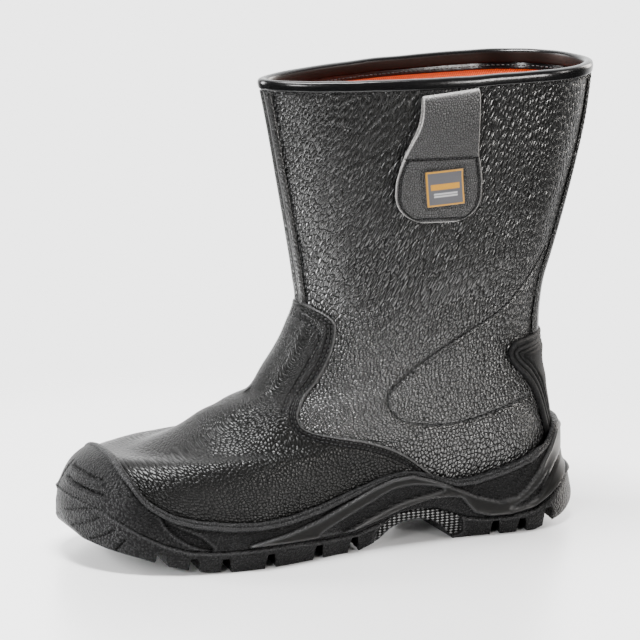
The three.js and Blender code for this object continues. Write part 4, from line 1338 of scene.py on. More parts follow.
    def facing(self, finish: bpy.types.Material) -> bpy.types.Object:
        """Builds the dark stitched tape inside, under the binding."""
        shape = Shape("collar_facing")
        drop = self.facing_drop
        profile = self._ring_profile([
            (-2.45, -4.8), (-3.2, -4.8), (-3.3, -6.2), (-3.3, -drop + 0.5), (-3.1, -drop), (-2.5, -drop),
        ], 18)
        grid = shape.add(self._ring(profile, self._columns()[:-1]))
        shape.join(np.concatenate([grid, grid[:1]]), wrap=True)
        return shape.build(finish, "trim_leather")

    def piping(self, finish: bpy.types.Material) -> bpy.types.Object:
        """Builds the strip down the front: two raised cords beside a groove."""
        half = self.piping_half
        y = np.linspace(-half, half, 33)
        t = np.linspace(10.12, LAST.top - 0.19, 120)
        angle = LAST.across(t, y, back=False)
        share = np.abs(y) / half
        cord = 0.55 + 0.95 * np.sqrt(np.maximum(0, 1 - ((share - 0.62) / 0.40) ** 2))
        cord = np.where(share > 0.97, 0.12, cord)
        points = LAST.form(t[:, None], angle, cord)
        shape = Shape("front_strip")
        under = LAST.form(t[:, None], angle, -self.sunk)
        shape.sheet(points, under, 6, 4, flow=flow_over(points, 16), relief=0.45, seam=np.abs(y))
        return shape.build(finish, "trim_leather", ["front_piping"])

    def stay(self, finish: bpy.types.Material) -> bpy.types.Object:
        """Builds the broad strip down the back seam."""
        half = self.stay_half
        share = np.linspace(-1, 1, 61)
        y = half * np.sin(share * math.pi / 2)
        t = self._levels_by_height(112.8, 110)
        angle = LAST.across(t, y, back=True)
        inside = half - np.abs(y)
        offset = 0.2 + 1.2 * rounded(inside, 1.1)
        offset = offset - 0.35 * bell(inside - self.stay_row, 0.6) - 0.25 * bell(y, 0.8)
        points = LAST.form(t[:, None], angle, offset)
        shape = Shape("back_strip")
        seam = np.minimum(np.abs(inside - self.stay_row), np.abs(y))
        under = LAST.form(t[:, None], angle, -self.sunk)
        shape.sheet(points, under, 6, 5, flow=flow_over(points, 30), relief=0.75, seam=seam)
        return shape.build(finish, "trim_leather", ["back_stay"])

    @staticmethod
    def _levels_by_height(low: float, count: int) -> Array:
        """Section numbers whose back line runs evenly from a height to the binding."""
        high = LAST.rows[-1, 3] - 5.6
        return LAST.level_at(np.linspace(low, high, count), math.pi, 6, LAST.top, 800)

    def thread(self, finish: bpy.types.Material) -> bpy.types.Object:
        """Sews the ankle seam, the stay, the binding and the facing."""
        shape = Shape("shaft_stitching")
        for seam in both_seams(ANKLE_SEAM, -0.45):
            self.stitching.sew(shape, seam)
        angle = np.linspace(0.28, 2 * math.pi - 0.28, 900)
        for drop, offset, facing in ((self.holes_drop, 0.0, 1), (self.facing_row, -self.facing_face, -1)):
            t = np.full(angle.shape, self._under_edge(drop))
            self.stitching.sew(shape, Seam(LAST.form(t, angle, offset), facing * LAST.normal(t, angle)))
        t = self._levels_by_height(114.0, 300)
        for y in (self.stay_row - self.stay_half, self.stay_half - self.stay_row):
            turn = LAST.across(t, np.array([y]), back=True)[:, 0]
            self.stitching.sew(shape, Seam(LAST.form(t, turn, 1.05), LAST.normal(t, turn)))
        return shape.build(finish, "trim_leather")


@dataclass
class Vamp:
    """The raised front panel over toe and instep, with its double-stitched edge."""

    TURN = np.linspace(0.0, math.pi, 1200)

    rows: int = 150
    half_columns: int = 118
    roll: float = 1.5
    foot: float = 0.25
    first_row: float = 2.1
    second_row: float = 4.1
    stitching: Stitching = field(default_factory=lambda: Stitching(pitch=2.7, length=2.15))

    def _levels(self) -> Array:
        """Section numbers from inside the sole up to the panel's peak."""
        top = float(LAST.level_at(VAMP_EDGE[0, 1] - 0.4, 0.0, 9, 11, 400))
        return even_levels(0.1, top, self.rows, (0.0, 0.5, 1.1))

    def _grid(self) -> tuple[Array, Array]:
        """Section numbers and angles of the panel's grid."""
        t = self._levels()
        across = mirrored_shares(self.half_columns, 0.24)
        edge = edge_angles(t, VAMP_EDGE, self.TURN, back=False)
        return np.broadcast_to(t[:, None], (len(t), len(across))), edge[:, None] * across[None, :]

    def panel(self, finish: bpy.types.Material) -> bpy.types.Object:
        """Builds the leather panel."""
        t, angle = self._grid()
        base, out = LAST.point(t, angle), LAST.normal(t, angle)
        depth = panel_depth(base, 30)
        inner = nearest_of(both_seams(VAMP_INNER_SEAM, 0.0), base)
        rows = np.minimum(np.abs(depth - self.first_row), np.abs(depth - self.second_row))
        seam = np.minimum(rows, inner)
        free = smooth(depth, 4, 12)
        offset = self.foot + (VAMP_TOP_FACE - self.foot) * rounded(depth, self.roll)
        offset = offset - 0.5 * bell(rows, 0.5) - 0.3 * bell(inner, 0.8) + self._creases(base)
        offset = offset + 0.2 * waves(base, 24, 8) * free * smooth(base[..., 0], -90, -40)
        relief = self._relief(base) * (0.35 + 0.65 * smooth(seam, 0.8, 2.0))
        girth = run_along(base * (0.0, 1.0, 1.0), 0)
        flow = np.stack([girth, base[..., 0] + 0.25 * base[..., 2], 0 * girth], axis=-1)
        # Painted highlight along the panel's rolled edge, carried by the edge mark.
        edge = (1 - smooth(depth, 0.5, 1.3)) * 0.8
        shape = Shape("vamp_leather")
        shape.sheet(base + out * offset[..., None], LAST.form(t, angle, 0.05), 11, 8,
                    flow=flow, relief=relief, seam=seam, edge=edge)
        return shape.build(finish, "vamp_leather", ["vamp"])

    @staticmethod
    def _creases(base: Array) -> Array:
        """Walking creases across the vamp and the toe cap's rear edge, in millimetres outward."""
        x, y, z = base[..., 0], base[..., 1], base[..., 2]
        along = x + 0.12 * z
        cap = -0.35 * bell(along + 78, 7) + 0.2 * bell(along + 92, 9)
        flex = -0.45 * bell(x + 0.75 * z + 2.0 + 0.004 * y * y, 6.5) + 0.4 * bell(x + 0.75 * z + 16, 8)
        return (cap + flex) * smooth(z, 34, 78)

    @staticmethod
    def _relief(base: Array) -> Array:
        """How strong the grain is over the panel: tight over the toe cap, open behind it."""
        x, z = base[..., 0], base[..., 2]
        toe = smooth(-x, 70, 118) * smooth(z, 48, 56)
        patch = 0.15 * waves(base, 45, 21)
        return np.clip(0.85 - 0.45 * toe + patch, 0.25, 1.2)

    def thread(self, finish: bpy.types.Material) -> bpy.types.Object:
        """Sews the panel's edge and its inner seam."""
        t = self._levels()
        edge = edge_angles(t, VAMP_EDGE, self.TURN, back=False)
        shape = Shape("vamp_stitching")
        for side in Side:
            angle = -side.value * edge
            rim, out = LAST.point(t, angle), LAST.normal(t, angle)
            inward = np.cross(unit(np.gradient(rim, axis=0)), out)
            inward *= np.sign((inward * (LAST.point(t, angle * 0.9) - rim)).sum(1, keepdims=True))
            for depth in (self.first_row, self.second_row):
                near = rim + inward * depth
                level, turn = LAST.place(near[:, 0], near[:, 2], side)
                keep = (near[:, 2] > 34) & (t > 1.6)
                level, turn = level[keep], turn[keep]
                points = LAST.form(level, turn, VAMP_TOP_FACE - 0.45)
                self.stitching.sew(shape, Seam(points, LAST.normal(level, turn)))
        for seam in both_seams(VAMP_INNER_SEAM, VAMP_TOP_FACE - 0.3):
            self.stitching.sew(shape, seam)
        return shape.build(finish, "vamp_leather")


@dataclass
class HeelGuard:
    """The moulded guard over the heel seam, with nested ridges along its edge."""

    TURN = np.linspace(0, 1.45, 900)

    rows: int = 110
    half_columns: int = 60
    bottom: float = 37.0
    foot: float = 0.2
    thickness: float = 2.5
    roll: float = 1.2

    def _levels(self) -> Array:
        """Section numbers whose back line rises evenly from the guard's foot to its peak."""
        heights = np.linspace(self.bottom, GUARD_EDGE[0, 1] - 0.2, self.rows)
        upper = LAST.level_at(heights, math.pi, 5.0, 14.0, 1600)
        lower = LAST.level_at(heights, math.pi, 0.8, 5.0, 400)
        return np.where(heights < LAST.point(np.array([5.0]), math.pi)[0, 2], lower, upper)

    def build(self, finish: bpy.types.Material) -> bpy.types.Object:
        """Builds the guard."""
        t = self._levels()
        half = edge_angles(t, GUARD_EDGE, self.TURN, back=True)
        angle = math.pi + half[:, None] * mirrored_shares(self.half_columns, 0.45)[None, :]
        levels = np.broadcast_to(t[:, None], angle.shape)
        base, out = LAST.point(levels, angle), LAST.normal(levels, angle)
        depth = panel_depth(base, 40)
        roll = rounded(depth, self.roll)
        grooves = bell(depth - 3.2, 0.55) + bell(depth - 6.2, 0.55) + 0.8 * bell(depth - 8.6, 0.6)
        knob = 0.9 * bell(base[..., 2] - 104, 6) + 0.5 * bell(base[..., 2] - 84, 5)
        offset = self.foot + self.thickness * roll - 0.95 * grooves * roll
        offset = offset + 0.25 * smooth(depth, 3, 9) + knob * smooth(depth, 5, 12)
        shape = Shape("heel_moulding")
        # Painted highlight on the ridges (lip mark) and painted shade in the grooves between them (groove
        # mark).
        lip = bell(depth - 4.7, 0.9) * 0.5 + bell(depth - 1.0, 0.7) * 0.4
        shape.sheet(base + out * offset[..., None], LAST.form(levels, angle, 0.03), 10, 8,
                    lip=lip, groove=np.clip(grooves, 0, 1))
        return shape.build(finish, "guard_rubber", ["heel_guard"])


@dataclass
class PullLoop:
    """A leather strap, folded over at the top and sewn down as a rounded tab."""

    side: Side = Side.LATERAL
    leather: float = 1.8
    bottom: float = 182.0
    round_height: float = 199.5
    centre: float = 51.0
    seam_height: float = 218.6
    border_row: float = 2.2
    columns: int = 44
    stitching: Stitching = field(default_factory=lambda: Stitching(pitch=2.5, length=2.0, radius=0.3))
    left: tuple = ((38.0, 256.0), (38.0, 243.3), (36.4, 235.2), (33.6, 228.5), (30.0, 220.1),
                   (27.9, 213.6), (26.2, 205.8), (25.9, 199.5))
    right: tuple = ((70.2, 256.0), (70.4, 240.0), (70.8, 226.0), (71.2, 220.5), (73.6, 212.5),
                    (75.0, 205.6), (75.0, 199.5))

    def _width(self, z: Array) -> tuple[Array, Array]:
        """Left and right limits of the strap at given heights."""
        left, right = curve_through(self.left)[::-1], np.array(self.right)[::-1]
        share = np.clip((z - self.bottom) / (self.round_height - self.bottom), 0, 1)
        bow = (1 - (1 - share) ** 2.4) ** (1 / 2.4)
        sides = (np.interp(z, line[:, 1], line[:, 0]) for line in (left, right))
        return tuple(np.where(z < self.round_height, self.centre + (x - self.centre) * bow, x) for x in sides)

    def _path(self) -> Array:
        """Offsets and heights of the strap's middle, from behind, over the fold and down."""
        knots = [(1.25, 212.0), (1.25, 226.0), (1.25, 240.0), (1.4, 249.0), (2.4, 252.5), (3.9, 252.6),
                 (5.0, 250.0), (5.5, 244.0), (5.2, 236.0), (4.4, 228.0), (3.4, 221.5), (3.0, 218.0),
                 (2.4, 214.0), (1.5, 209.5), (1.25, 204.0), (1.25, 196.0), (1.25, 189.0), (1.25, 184.5),
                 (1.25, self.bottom + 0.3)]
        return spaced(curve_through(knots, 600), 0.8)

    def build(self, finish: bpy.types.Material) -> bpy.types.Object:
        """Builds the strap."""
        path = self._path()
        along = unit(np.gradient(path, axis=0))
        outward = np.stack([-along[:, 1], along[:, 0]], axis=1)
        fold = int(np.argmax(path[:, 1]))
        front_leg = np.arange(len(path)) > fold
        left, right = self._width(path[:, 1])
        share = np.linspace(-1, 1, self.columns + 1)
        share = np.sign(share) * (1 - (1 - np.abs(share)) ** 1.5)
        x = (left + right)[:, None] / 2 + share * (right - left)[:, None] / 2
        inset = np.minimum(x - left[:, None], right[:, None] - x)
        run = run_along(path)
        inset = np.minimum(inset, (run[-1] - run + 0.05)[:, None])
        half = self.leather / 2 * np.sqrt(1 - (1 - np.clip(inset / 0.7, 0.0, 1)) ** 2 * 0.9)
        over_seam = (path[:, 1] - self.seam_height)[:, None]
        border = np.abs(inset - self.border_row) + 50 * (over_seam > 0)
        seam = np.where(front_leg[:, None], np.minimum(np.abs(over_seam), border), FAR_AWAY)
        sunk = 0.35 * bell(seam, 0.6)
        shape = Shape(f"pull_strap_{self.side.name.lower()}")
        grids = []
        for face in (1, -1):
            offset = path[:, :1] + face * outward[:, :1] * (half - (sunk if face > 0 else 0))
            height = path[:, 1:] + face * outward[:, 1:] * half
            height = height + (1.2 + 0.1 * (x - 54)) * smooth(height, 226, 250)
            points = LAST.wall(x, height, self.side, np.maximum(offset, 0.12))
            flow = np.stack([x, run[:, None] + 0 * x, 0 * x], axis=-1)
            # Painted highlight along the strap's edges and over the crest of the fold, carried by the edge
            # mark.
            fold_highlight = bell(run - run[fold] - 0.4, 0.9)[:, None] * (face > 0)
            edge = np.maximum(1 - smooth(inset, 0.25, 0.8), 0.9 * fold_highlight)
            marks = {"relief": 0.75, "seam": seam if face > 0 else FAR_AWAY, "edge": edge}
            grids.append(shape.add(points, flow=flow, **marks))
        shape.join(grids[0])
        shape.join(grids[1], turn=True)
        both = np.stack(grids, axis=-1)
        for rim, turn in ((both[:, 0], True), (both[:, -1], False), (both[0], False), (both[-1], True)):
            shape.join(rim, turn=turn)
        return shape.build(finish, "loop_leather", [f"pull_loop_{self.side.name.lower()}"])

    def thread(self, finish: bpy.types.Material) -> bpy.types.Object:
        """Sews the tab's border and the line across it."""
        shape = Shape(f"pull_stitching_{self.side.name.lower()}")
        z = self.seam_height
        left, right = self._width(np.array([z]))
        line = np.array([[left[0] + self.border_row, z], [right[0] - self.border_row, z]])
        self.stitching.sew(shape, Seam.on_wall(spaced(line, 0.5), self.side, 3.85))
        heights = np.linspace(z - 1, self.bottom + 0.4, 160)
        left, right = self._width(heights)
        border = np.r_[np.stack([left, heights], 1), np.stack([right, heights], 1)[::-1]]
        inner = border + unit(np.gradient(border, axis=0)[:, ::-1] * (-1, 1)) * self.border_row
        offset = 1.95 + 1.75 * smooth(inner[:, 1], 205, 218)
        t, angle = LAST.place(inner[:, 0], inner[:, 1], self.side)
        self.stitching.sew(shape, Seam(LAST.form(t, angle, offset), LAST.normal(t, angle)))
        return shape.build(finish, "loop_leather")


@dataclass
class Label:
    """The small woven patch on the lateral tab, with its double stitching."""

    corners: tuple = ((43.0, 191.4), (64.6, 193.0), (62.4, 213.0), (40.8, 211.4))
    thickness: float = 0.7
    size: tuple[float, float] = (21.5, 20.0)
    base: float = 2.2
    columns: int = 44

    def build(self, finish: bpy.types.Material) -> bpy.types.Object:
        """Builds the patch."""
        share = np.linspace(0, 1, self.columns + 1)
        u, v = np.meshgrid(share, share)
        weights = np.stack([(1 - u) * (1 - v), u * (1 - v), u * v, (1 - u) * v], axis=-1)
        flat = weights @ np.array(self.corners)
        rim = np.minimum(np.minimum(u, 1 - u), np.minimum(v, 1 - v)) * 21.0
        lift = self._lift(flat[..., 1])
        offset = self.base + lift + self.thickness * rounded(rim, 0.8)
        bar = (v > 0.46) & (v < 0.62) & (u > 0.12) & (u < 0.88)
        line = ((np.abs(v - 0.36) < 0.022) | (np.abs(v - 0.28) < 0.022)) & (u > 0.2) & (u < 0.8)
        edge = (rim > 0.35) & (rim < 1.1)
        shape = Shape("woven_patch")
        flow = np.stack([u * self.size[0], v * self.size[1], 0 * u], axis=-1)
        points = LAST.wall(flat[..., 0], flat[..., 1], Side.LATERAL, offset)
        under = LAST.wall(flat[..., 0], flat[..., 1], Side.LATERAL, self.base + lift - 0.1)
        shape.sheet(points, under, 11, 11, flow=flow, bar=bar, line=line, edge=edge)
        return shape.build(finish, "woven_patch", ["label_patch"])

    @staticmethod
    def _lift(z: Array) -> Array:
        """How far the strap under the patch stands off the shaft more than at the tab's foot."""
        return 0.25 * smooth(z, 203, 209.5) + 0.9 * smooth(z, 208, 214)

    def thread(self, finish: bpy.types.Material) -> bpy.types.Object:
        """Sews the patch down with two rows round it."""
        shape = Shape("patch_stitching")
        stitching = Stitching(pitch=2.2, length=1.7, radius=0.28)
        corners = np.array(self.corners)
        centre = corners.mean(0)
        for out in (1.06, 1.16):
            ring = centre + (corners - centre) * out
            loop = spaced(np.vstack([ring, ring[:1]]), 0.5)
            t, angle = LAST.place(loop[:, 0], loop[:, 1], Side.LATERAL)
            points = LAST.form(t, angle, 2.1 + self._lift(loop[:, 1]))
            stitching.sew(shape, Seam(points, LAST.normal(t, angle)))
        return shape.build(finish, "woven_patch")


@dataclass
class Footbed:
    """The removable insole."""

    thickness: float = 4.0
    rows: int = 150
    columns: int = 30

    def build(self, finish: bpy.types.Material) -> bpy.types.Object:
        """Builds the insole with its rolled edge."""
        turn = np.linspace(0.05, math.pi - 0.05, self.rows)
        level = np.full(self.rows, 0.42)
        left, right = (LAST.form(level, way, -UPPER_WALL - 0.5) for way in (turn, 2 * math.pi - turn))
        share = np.linspace(0, 1, self.columns + 1)[None, :, None]
        top = left[:, None] * (1 - share) + right[:, None] * share
        run = run_along(top)
        sideways = np.minimum(share, 1 - share)[..., 0] * 70
        inset = np.minimum(sideways, np.minimum(run, run[-1:] - run))
        dish = 1.1 * (1 - smooth(inset, 2, 20))
        edge = 1.2 * (1 - rounded(inset, 1.6))
        floor = seat_height(top[..., 0])
        top[..., 2] = floor + self.thickness - 0.6 + dish - edge
        shape = Shape("footbed")
        under = top.copy()
        under[..., 2] = floor + 0.5
        shape.sheet(top, under, 6, 6)
        return shape.build(finish, "footbed_foam", ["insole"])


# ---------------------------------------------------------------------------------------------
# The sole
# ---------------------------------------------------------------------------------------------

BAND_WINDOW = ((-24, 11), (-20, 15.5), (-5, 21.5), (12, 28.5), (25, 34), (37, 35.3), (50, 33.6), (57, 31),
               (50, 29), (31, 25.5), (12, 19), (-5, 13.2), (-18, 9.6))
HEEL_WINDOW = ((100, 15.5), (109, 20), (119, 26.5), (126, 32), (120, 21.5), (109, 16.4))
HEEL_PANEL = ((66, 32), (80, 32.3), (93, 35), (105, 38.6), (114, 44), (106.5, 33), (100, 25.5), (90, 24.4),
              (78, 27.5))
ARCH_PANEL = ((16, 8.5), (22, 14.6), (32, 19.8), (42, 22.6), (54, 22.6), (62, 20.6), (68, 15.5), (71, 8),
              (66, 2), (20, 2))
TOE_LENS = ((-113, 33.0), (-108.6, 28.6), (-99.5, 24.2), (-92, 20.5), (-85.5, 13.8), (-96, 16.3),
            (-104, 20.9), (-110, 27))
HEEL_FINS = (((168, 46), (150, 44), (140, 40), (131, 33), (124, 26), (118, 20)),
             ((168, 35), (152, 32), (142, 27), (133, 21), (124, 15.5), (112, 12.6)))
PETALS = (((-149.5, 22.0), (-145.3, 25.7), (-140.3, 29.8)), ((-143.4, 17.3), (-139.1, 20.0), (-134.6, 24.2)),
          ((-133.7, 13.6), (-131.5, 16.8), (-129.8, 19.3)), ((-150.6, 29.5), (-147.5, 32.2), (-142.2, 34.0)))
# Places of the cross grooves, as shares of the sole's length from its middle
GROOVES = (-0.353, -0.295, -0.237, -0.150, -0.050, 0.025, 0.317, 0.372, 0.429)


def level_outward(run: Array) -> Array:
    """Level outward directions of an outline that runs round the boot."""
    return unit(np.stack([run[..., 1], -run[..., 0], 0 * run[..., 0]], axis=-1))


def cup_wrap(x: Array) -> Array:
    """How far the rubber stands off the upper: further round the heel."""
    back = smooth((x - 0.40 * SOLE_LENGTH) / (0.07 * SOLE_LENGTH))
    return RUBBER_WRAP + (HEEL_CUP_WRAP - RUBBER_WRAP) * back


@dataclass
class Sole:
    """The moulded sole: a body with a wave band, and the tread under it."""

    columns: int = 940
    body_rows: int = 50
    tread_rows: int = 26
    across: int = 44
    band_rise: float = 1.6
    lug_depth: float = 8.0
    groove_width: float = 6.5
    groove_lean: float = 0.12
    rib_width: float = 26.0
    fin_width: float = 0.9

    def __post_init__(self) -> None:
        """Spaces the columns evenly round the outline, in pairs across the sole."""
        fine = np.linspace(0, math.pi, 3000)
        run = run_along(self.outline(fine, 0.0, 0.0, 0.0))
        half = np.interp(np.linspace(0, run[-1], self.columns // 2 + 1), run, fine)
        self.angle: Array = np.r_[half, 2 * math.pi - half[-2:0:-1]]

    @staticmethod
    def outline(angle: Array, z: Array | float, offset: Array | float, flare: Array | float) -> Array:
        """Points at a distance outside the sole's own outline."""
        step = 0.02

        def at(turn: Array) -> Array:
            """Points on the outline."""
            front, back = -0.5 * SOLE_LENGTH, 0.5 * SOLE_LENGTH + flare
            x = front + (back - front) * (1 - np.cos(turn)) / 2
            lateral = np.sin(turn) >= 0
            widths = np.where(lateral[..., None], SOLE_SECTION[0], SOLE_SECTION[1]) * SOLE_WIDTH
            ends = closing(x - front, 0.204 * SOLE_LENGTH) * closing(back - x, 0.151 * SOLE_LENGTH)
            y = np.where(lateral, -1, 1) * half_width(widths, x) * ends
            return np.stack([x, y + toe_swing(x, np.full(x.shape, BALL_SEAT)), 0 * x], axis=-1)

        run = at(angle + step) - at(angle - step)
        points = at(angle) + level_outward(run) * np.broadcast_to(offset, angle.shape)[..., None]
        points[..., 2] = z
        return points

    @staticmethod
    def line(rows: Array, x: Array) -> Array:
        """Height of a side-view line at x."""
        return np.interp(x, rows[:, 0], rows[:, 1])

    def _rounded(self, values: Array, reach: int) -> Array:
        """Averages a number round the sole over a few columns to either side."""
        kernel = np.hanning(2 * reach + 3)[1:-1]
        padded = np.r_[values[-reach:], values, values[:reach]]
        return np.convolve(padded, kernel / kernel.sum(), mode="valid")

    def _edge_level(self) -> Array:
        """Section number at which each column meets the rubber's top edge."""
        low, high = np.zeros(self.angle.shape), np.full(self.angle.shape, 6.0)
        for _ in range(24):
            middle = (low + high) / 2
            point = LAST.point(middle, self.angle)
            below = point[:, 2] < self.line(RUBBER_EDGE, point[:, 0])
            low, high = np.where(below, middle, low), np.where(below, high, middle)
        return self._rounded(low, 5)

    def _skin(self, share: Array, level: Array) -> Array:
        """The body's outer skin, from the outline (share 0) up onto the leather (share 1)."""
        foot = self.outline(self.angle, 0 * self.angle, 0.0, 0.0)
        foot[:, 2] = self._rounded(self.line(SPLIT_LINE, foot[:, 0]), 6)
        here = share[:, None] * level[None, :]
        angle = np.broadcast_to(self.angle, here.shape)
        on_last = LAST.point(here, angle)
        leather = LAST.form(here, angle, cup_wrap(on_last[..., 0]))
        pull = smooth(1.4 * share)[:, None, None]
        return foot[None] * (1 - pull) + leather * pull

    def body(self, finish: bpy.types.Material) -> bpy.types.Object:
        """Builds the body with its lip, band, windows, fins and toe slots."""
        level = self._edge_level()
        share = np.linspace(0, 1, self.body_rows)
        share = 0.35 * share + 0.65 * smooth(share) ** 0.9
        skin = self._skin(share, level)
        floor = self._rounded(self.line(SPLIT_LINE, skin[0, :, 0]), 6)
        skin[..., 2] = np.maximum(skin[..., 2], floor[None, :] + 0.02 * np.arange(self.body_rows)[:, None])
        rise = np.gradient(skin, axis=0)
        run = np.roll(skin, -1, axis=1) - np.roll(skin, 1, axis=1)
        out = unit(-np.cross(rise, run))
        x, z = skin[..., 0], skin[..., 2]
        climbed = run_along(skin)
        height, marks = self._body_relief(skin, climbed[-1:] - climbed)
        points = skin + out * height[..., None]
        flow = np.stack([x, z, 0 * x], axis=-1)
        shape = Shape("sole_body")
        front = shape.add(points, flow=flow, **marks)
        rims = [front]
        front_part, heel_part = smooth(-x[-1], -64, -58), smooth(x[-1], 118, 124)
        inner = 0.45 + 1.9 * front_part + 2.6 * heel_part
        wrap = cup_wrap(x[-1]) + height[-1]
        for lift, pull in ((0.055, 0.12), (0.085, 0.4), (0.085, 0.75), (0.06, 1.0), (-0.25, 1.0)):
            here = np.clip(level + lift, 0, 9)
            ring = LAST.form(here, self.angle, wrap * (1 - pull) + inner * pull)
            flow = np.stack([ring[:, 0], ring[:, 2], 0 * level], axis=-1)
            # The rubber's top edge gets a painted highlight through the lip mark.
            rims.append(shape.add(ring[None], flow=flow[None], lip=0.9 * (1 - pull)))
        for share_down in (0.5, 0.0):
            rims.append(shape.add(LAST.form(share_down * level, self.angle, 0.45)[None]))
        grid = np.concatenate(rims)
        shape.join(grid, wrap=True)
        shape.cap(grid[0], turn=True)
        shape.cap(grid[-1])
        return shape.build(finish, "sole_rubber", ["midsole"])

    def _body_relief(self, skin: Array, from_top: Array) -> tuple[Array, dict[str, Array]]:
        """The body's relief in millimetres outward, and its surface values: the band, painted highlights on
        lips and rims, and painted shade in grooves and hollows.
        """
        x, y, z = skin[..., 0], skin[..., 1], skin[..., 2]
        depth = outline_depth(x, z, np.vstack([BAND_TOP, BAND_BOTTOM[::-1]]))
        window, slit = shape_depth(x, z, BAND_WINDOW, 120), shape_depth(x, z, HEEL_WINDOW, 70)
        panel, lens = shape_depth(x, z, HEEL_PANEL), shape_depth(x, z, TOE_LENS)
        band = smooth(depth, -0.5, 0.9)
        opened = smooth(window, -0.3, 0.8) + smooth(slit, -0.3, 0.6)
        fins = engraved(x, z, HEEL_FINS, 60, self.fin_width) * smooth(x, 112, 122)
        lip = plateau(from_top, (-0.1, 0.7), (2.2, 3.2)) * (1 - band)
        split = z - self.line(SPLIT_LINE, x)
        slots = self._toe_slots(x, y, z)
        height = self.band_rise * band - 1.5 * np.clip(opened, 0, 1) * band
        height = height + 0.55 * bell(depth - 0.9, 0.8) * (1 - opened)
        height = height - 0.7 * smooth(panel, 0.2, 1.2) - 1.1 * smooth(lens, -0.2, 1.2)
        height = height + 0.7 * lip - 0.35 * bell(from_top - 3.6, 0.7) * (1 - band)
        height = height - 1.3 * fins - 0.8 * bell(split, 0.7) - 1.3 * slots
        # Painted highlight along the band's edge, the windows' rims and the lens rim.
        rims = bell(depth - 0.6, 0.7) + bell(window + 0.7, 0.6) * band + bell(slit + 0.6, 0.5) * band
        rims = rims + 0.8 * bell(lens + 0.9, 0.6)
        # Painted shade in the split line, slots and fins, beside the band, in the lens, under the top lip and
        # in the windows.
        dark = bell(split, 0.6) + slots + fins + bell(depth + 0.7, 0.6) + 0.95 * bell(lens - 0.5, 0.9)
        dark = dark + bell(from_top - 3.6, 0.6) * (1 - band) * 0.7 + bell(window - 0.5, 0.5) * band
        marks = {"band": band * (1 - opened), "lip": 0.8 * lip + 0.8 * rims, "groove": dark}
        return height, {name: np.clip(value, 0, 1) for name, value in marks.items()}

    @staticmethod
    def _toe_slots(x: Array, y: Array, z: Array) -> Array:
        """The three slots and the upright line moulded into the toe cap."""
        swung = y - TOE_SWING * 0.8
        turn = np.degrees(np.arctan2(-swung, -(x + 104.0)))
        rows = ((2.7, 53.2, 42.0, 50.4), (3.8, 46.8, 43.2, 42.4), (-12.8, 37.2, 37.4, 33.4))
        slots = np.zeros(x.shape)
        for start, high, stop, low in rows:
            level = high + (low - high) * (turn - start) / (stop - start)
            span = plateau(turn, (start - 2, start + 1), (stop - 2, stop + 1))
            slots = slots + span * (bell(z - level, 0.8) - 0.6 * bell(z - level + 2.1, 1.0))
        leaning = (turn + 5.0 + 8.0 * (52.1 - z) / 14.2) * 0.8
        return slots + bell(leaning, 0.9) * plateau(z, (34, 36.5), (53, 55))

    def _tread_floor(self, x: Array, y: Array) -> Array:
        """Height of the tread's underside, with its grooves."""
        floor = self.line(TREAD_LINE, x)
        lift = np.zeros(x.shape)
        for share in GROOVES:
            place = share * SOLE_LENGTH
            lean_cos, lean_sin = math.cos(self.groove_lean), math.sin(self.groove_lean)
            along = (x - place) * lean_cos + np.abs(y) * lean_sin
            sideways = -(x - place) * lean_sin + np.abs(y) * lean_cos
            cut = smooth(self.groove_width / 2 - np.abs(along), 0.0, 0.9)
            cut = cut * smooth(sideways - self.rib_width / 2, 0.0, 1.5)
            roof = self.line(TREAD_LINE, np.array(place)) + self.lug_depth
            lift = np.maximum(lift, cut * np.maximum(roof - floor, 0))
        on_front = plateau(x, (-128, -122), (8, 12))
        sipe = bell(np.abs(y) - 7.0, 0.6) * on_front
        rung = bell((x + 0.06 * y * y / 10) % 14.0 - 7.0, 0.7) * (np.abs(y) < 11.5)
        fine = (0.9 * sipe + 1.1 * rung) * np.clip(on_front + plateau(x, (68, 72), (112, 116)), 0, 1)
        return floor + np.maximum(lift, np.where(lift > 0.3, 0, fine))

    def _ring(self, z: Array) -> Array:
        """The tread block's outline at the height of each column."""
        heights = np.array([-5.0, 0.0, 8.4, 15.4, 30.0, 56.0])
        offset = np.interp(z, heights, [-2.0, -1.7, -0.3, -0.25, -0.45, -4.5])
        flare = np.interp(z, heights, [0.9, 0.9, 1.0, 0.9, 0.0, 0.0]) * HEEL_FLARE
        return self.outline(np.broadcast_to(self.angle, z.shape), z, offset, flare)

    def tread(self, finish: bpy.types.Material) -> bpy.types.Object:
        """Builds the tread block: side wall, underside with lugs, and hidden top."""
        foot = self._ring(np.full(self.angle.shape, 5.0))
        for _ in range(3):
            foot = self._ring(self._tread_floor(foot[:, 0], foot[:, 1]))
        top = self._rounded(self.line(SPLIT_LINE, foot[:, 0]), 6) - 0.25
        bottom = np.minimum(foot[:, 2], top - 0.4)
        share = np.linspace(0, 1, self.tread_rows)
        z = bottom[None] + (top - bottom)[None] * share[:, None]
        wall = self._ring(z)
        run = np.roll(wall, -1, axis=1) - np.roll(wall, 1, axis=1)
        out = level_outward(run)
        x = wall[..., 0]
        arch = shape_depth(x, z, ARCH_PANEL)
        fins = engraved(x, z, HEEL_FINS[1:], 60, self.fin_width) * smooth(x, 105, 118)
        petals = engraved(x, z, PETALS, 30, 0.6) * (x < -120)
        steps = bell(x - 92.5, 0.5) * plateau(z, (9, 11), (15, 17))
        height = -1.2 * smooth(arch, -0.2, 1.0) - 1.2 * fins - 0.8 * petals - 0.8 * steps
        height = height - 0.7 * bell(z - top, 0.7) - 0.5 * bell(z - bottom, 0.5)
        points = wall + out * height[..., None]
        shape = Shape("sole_tread")
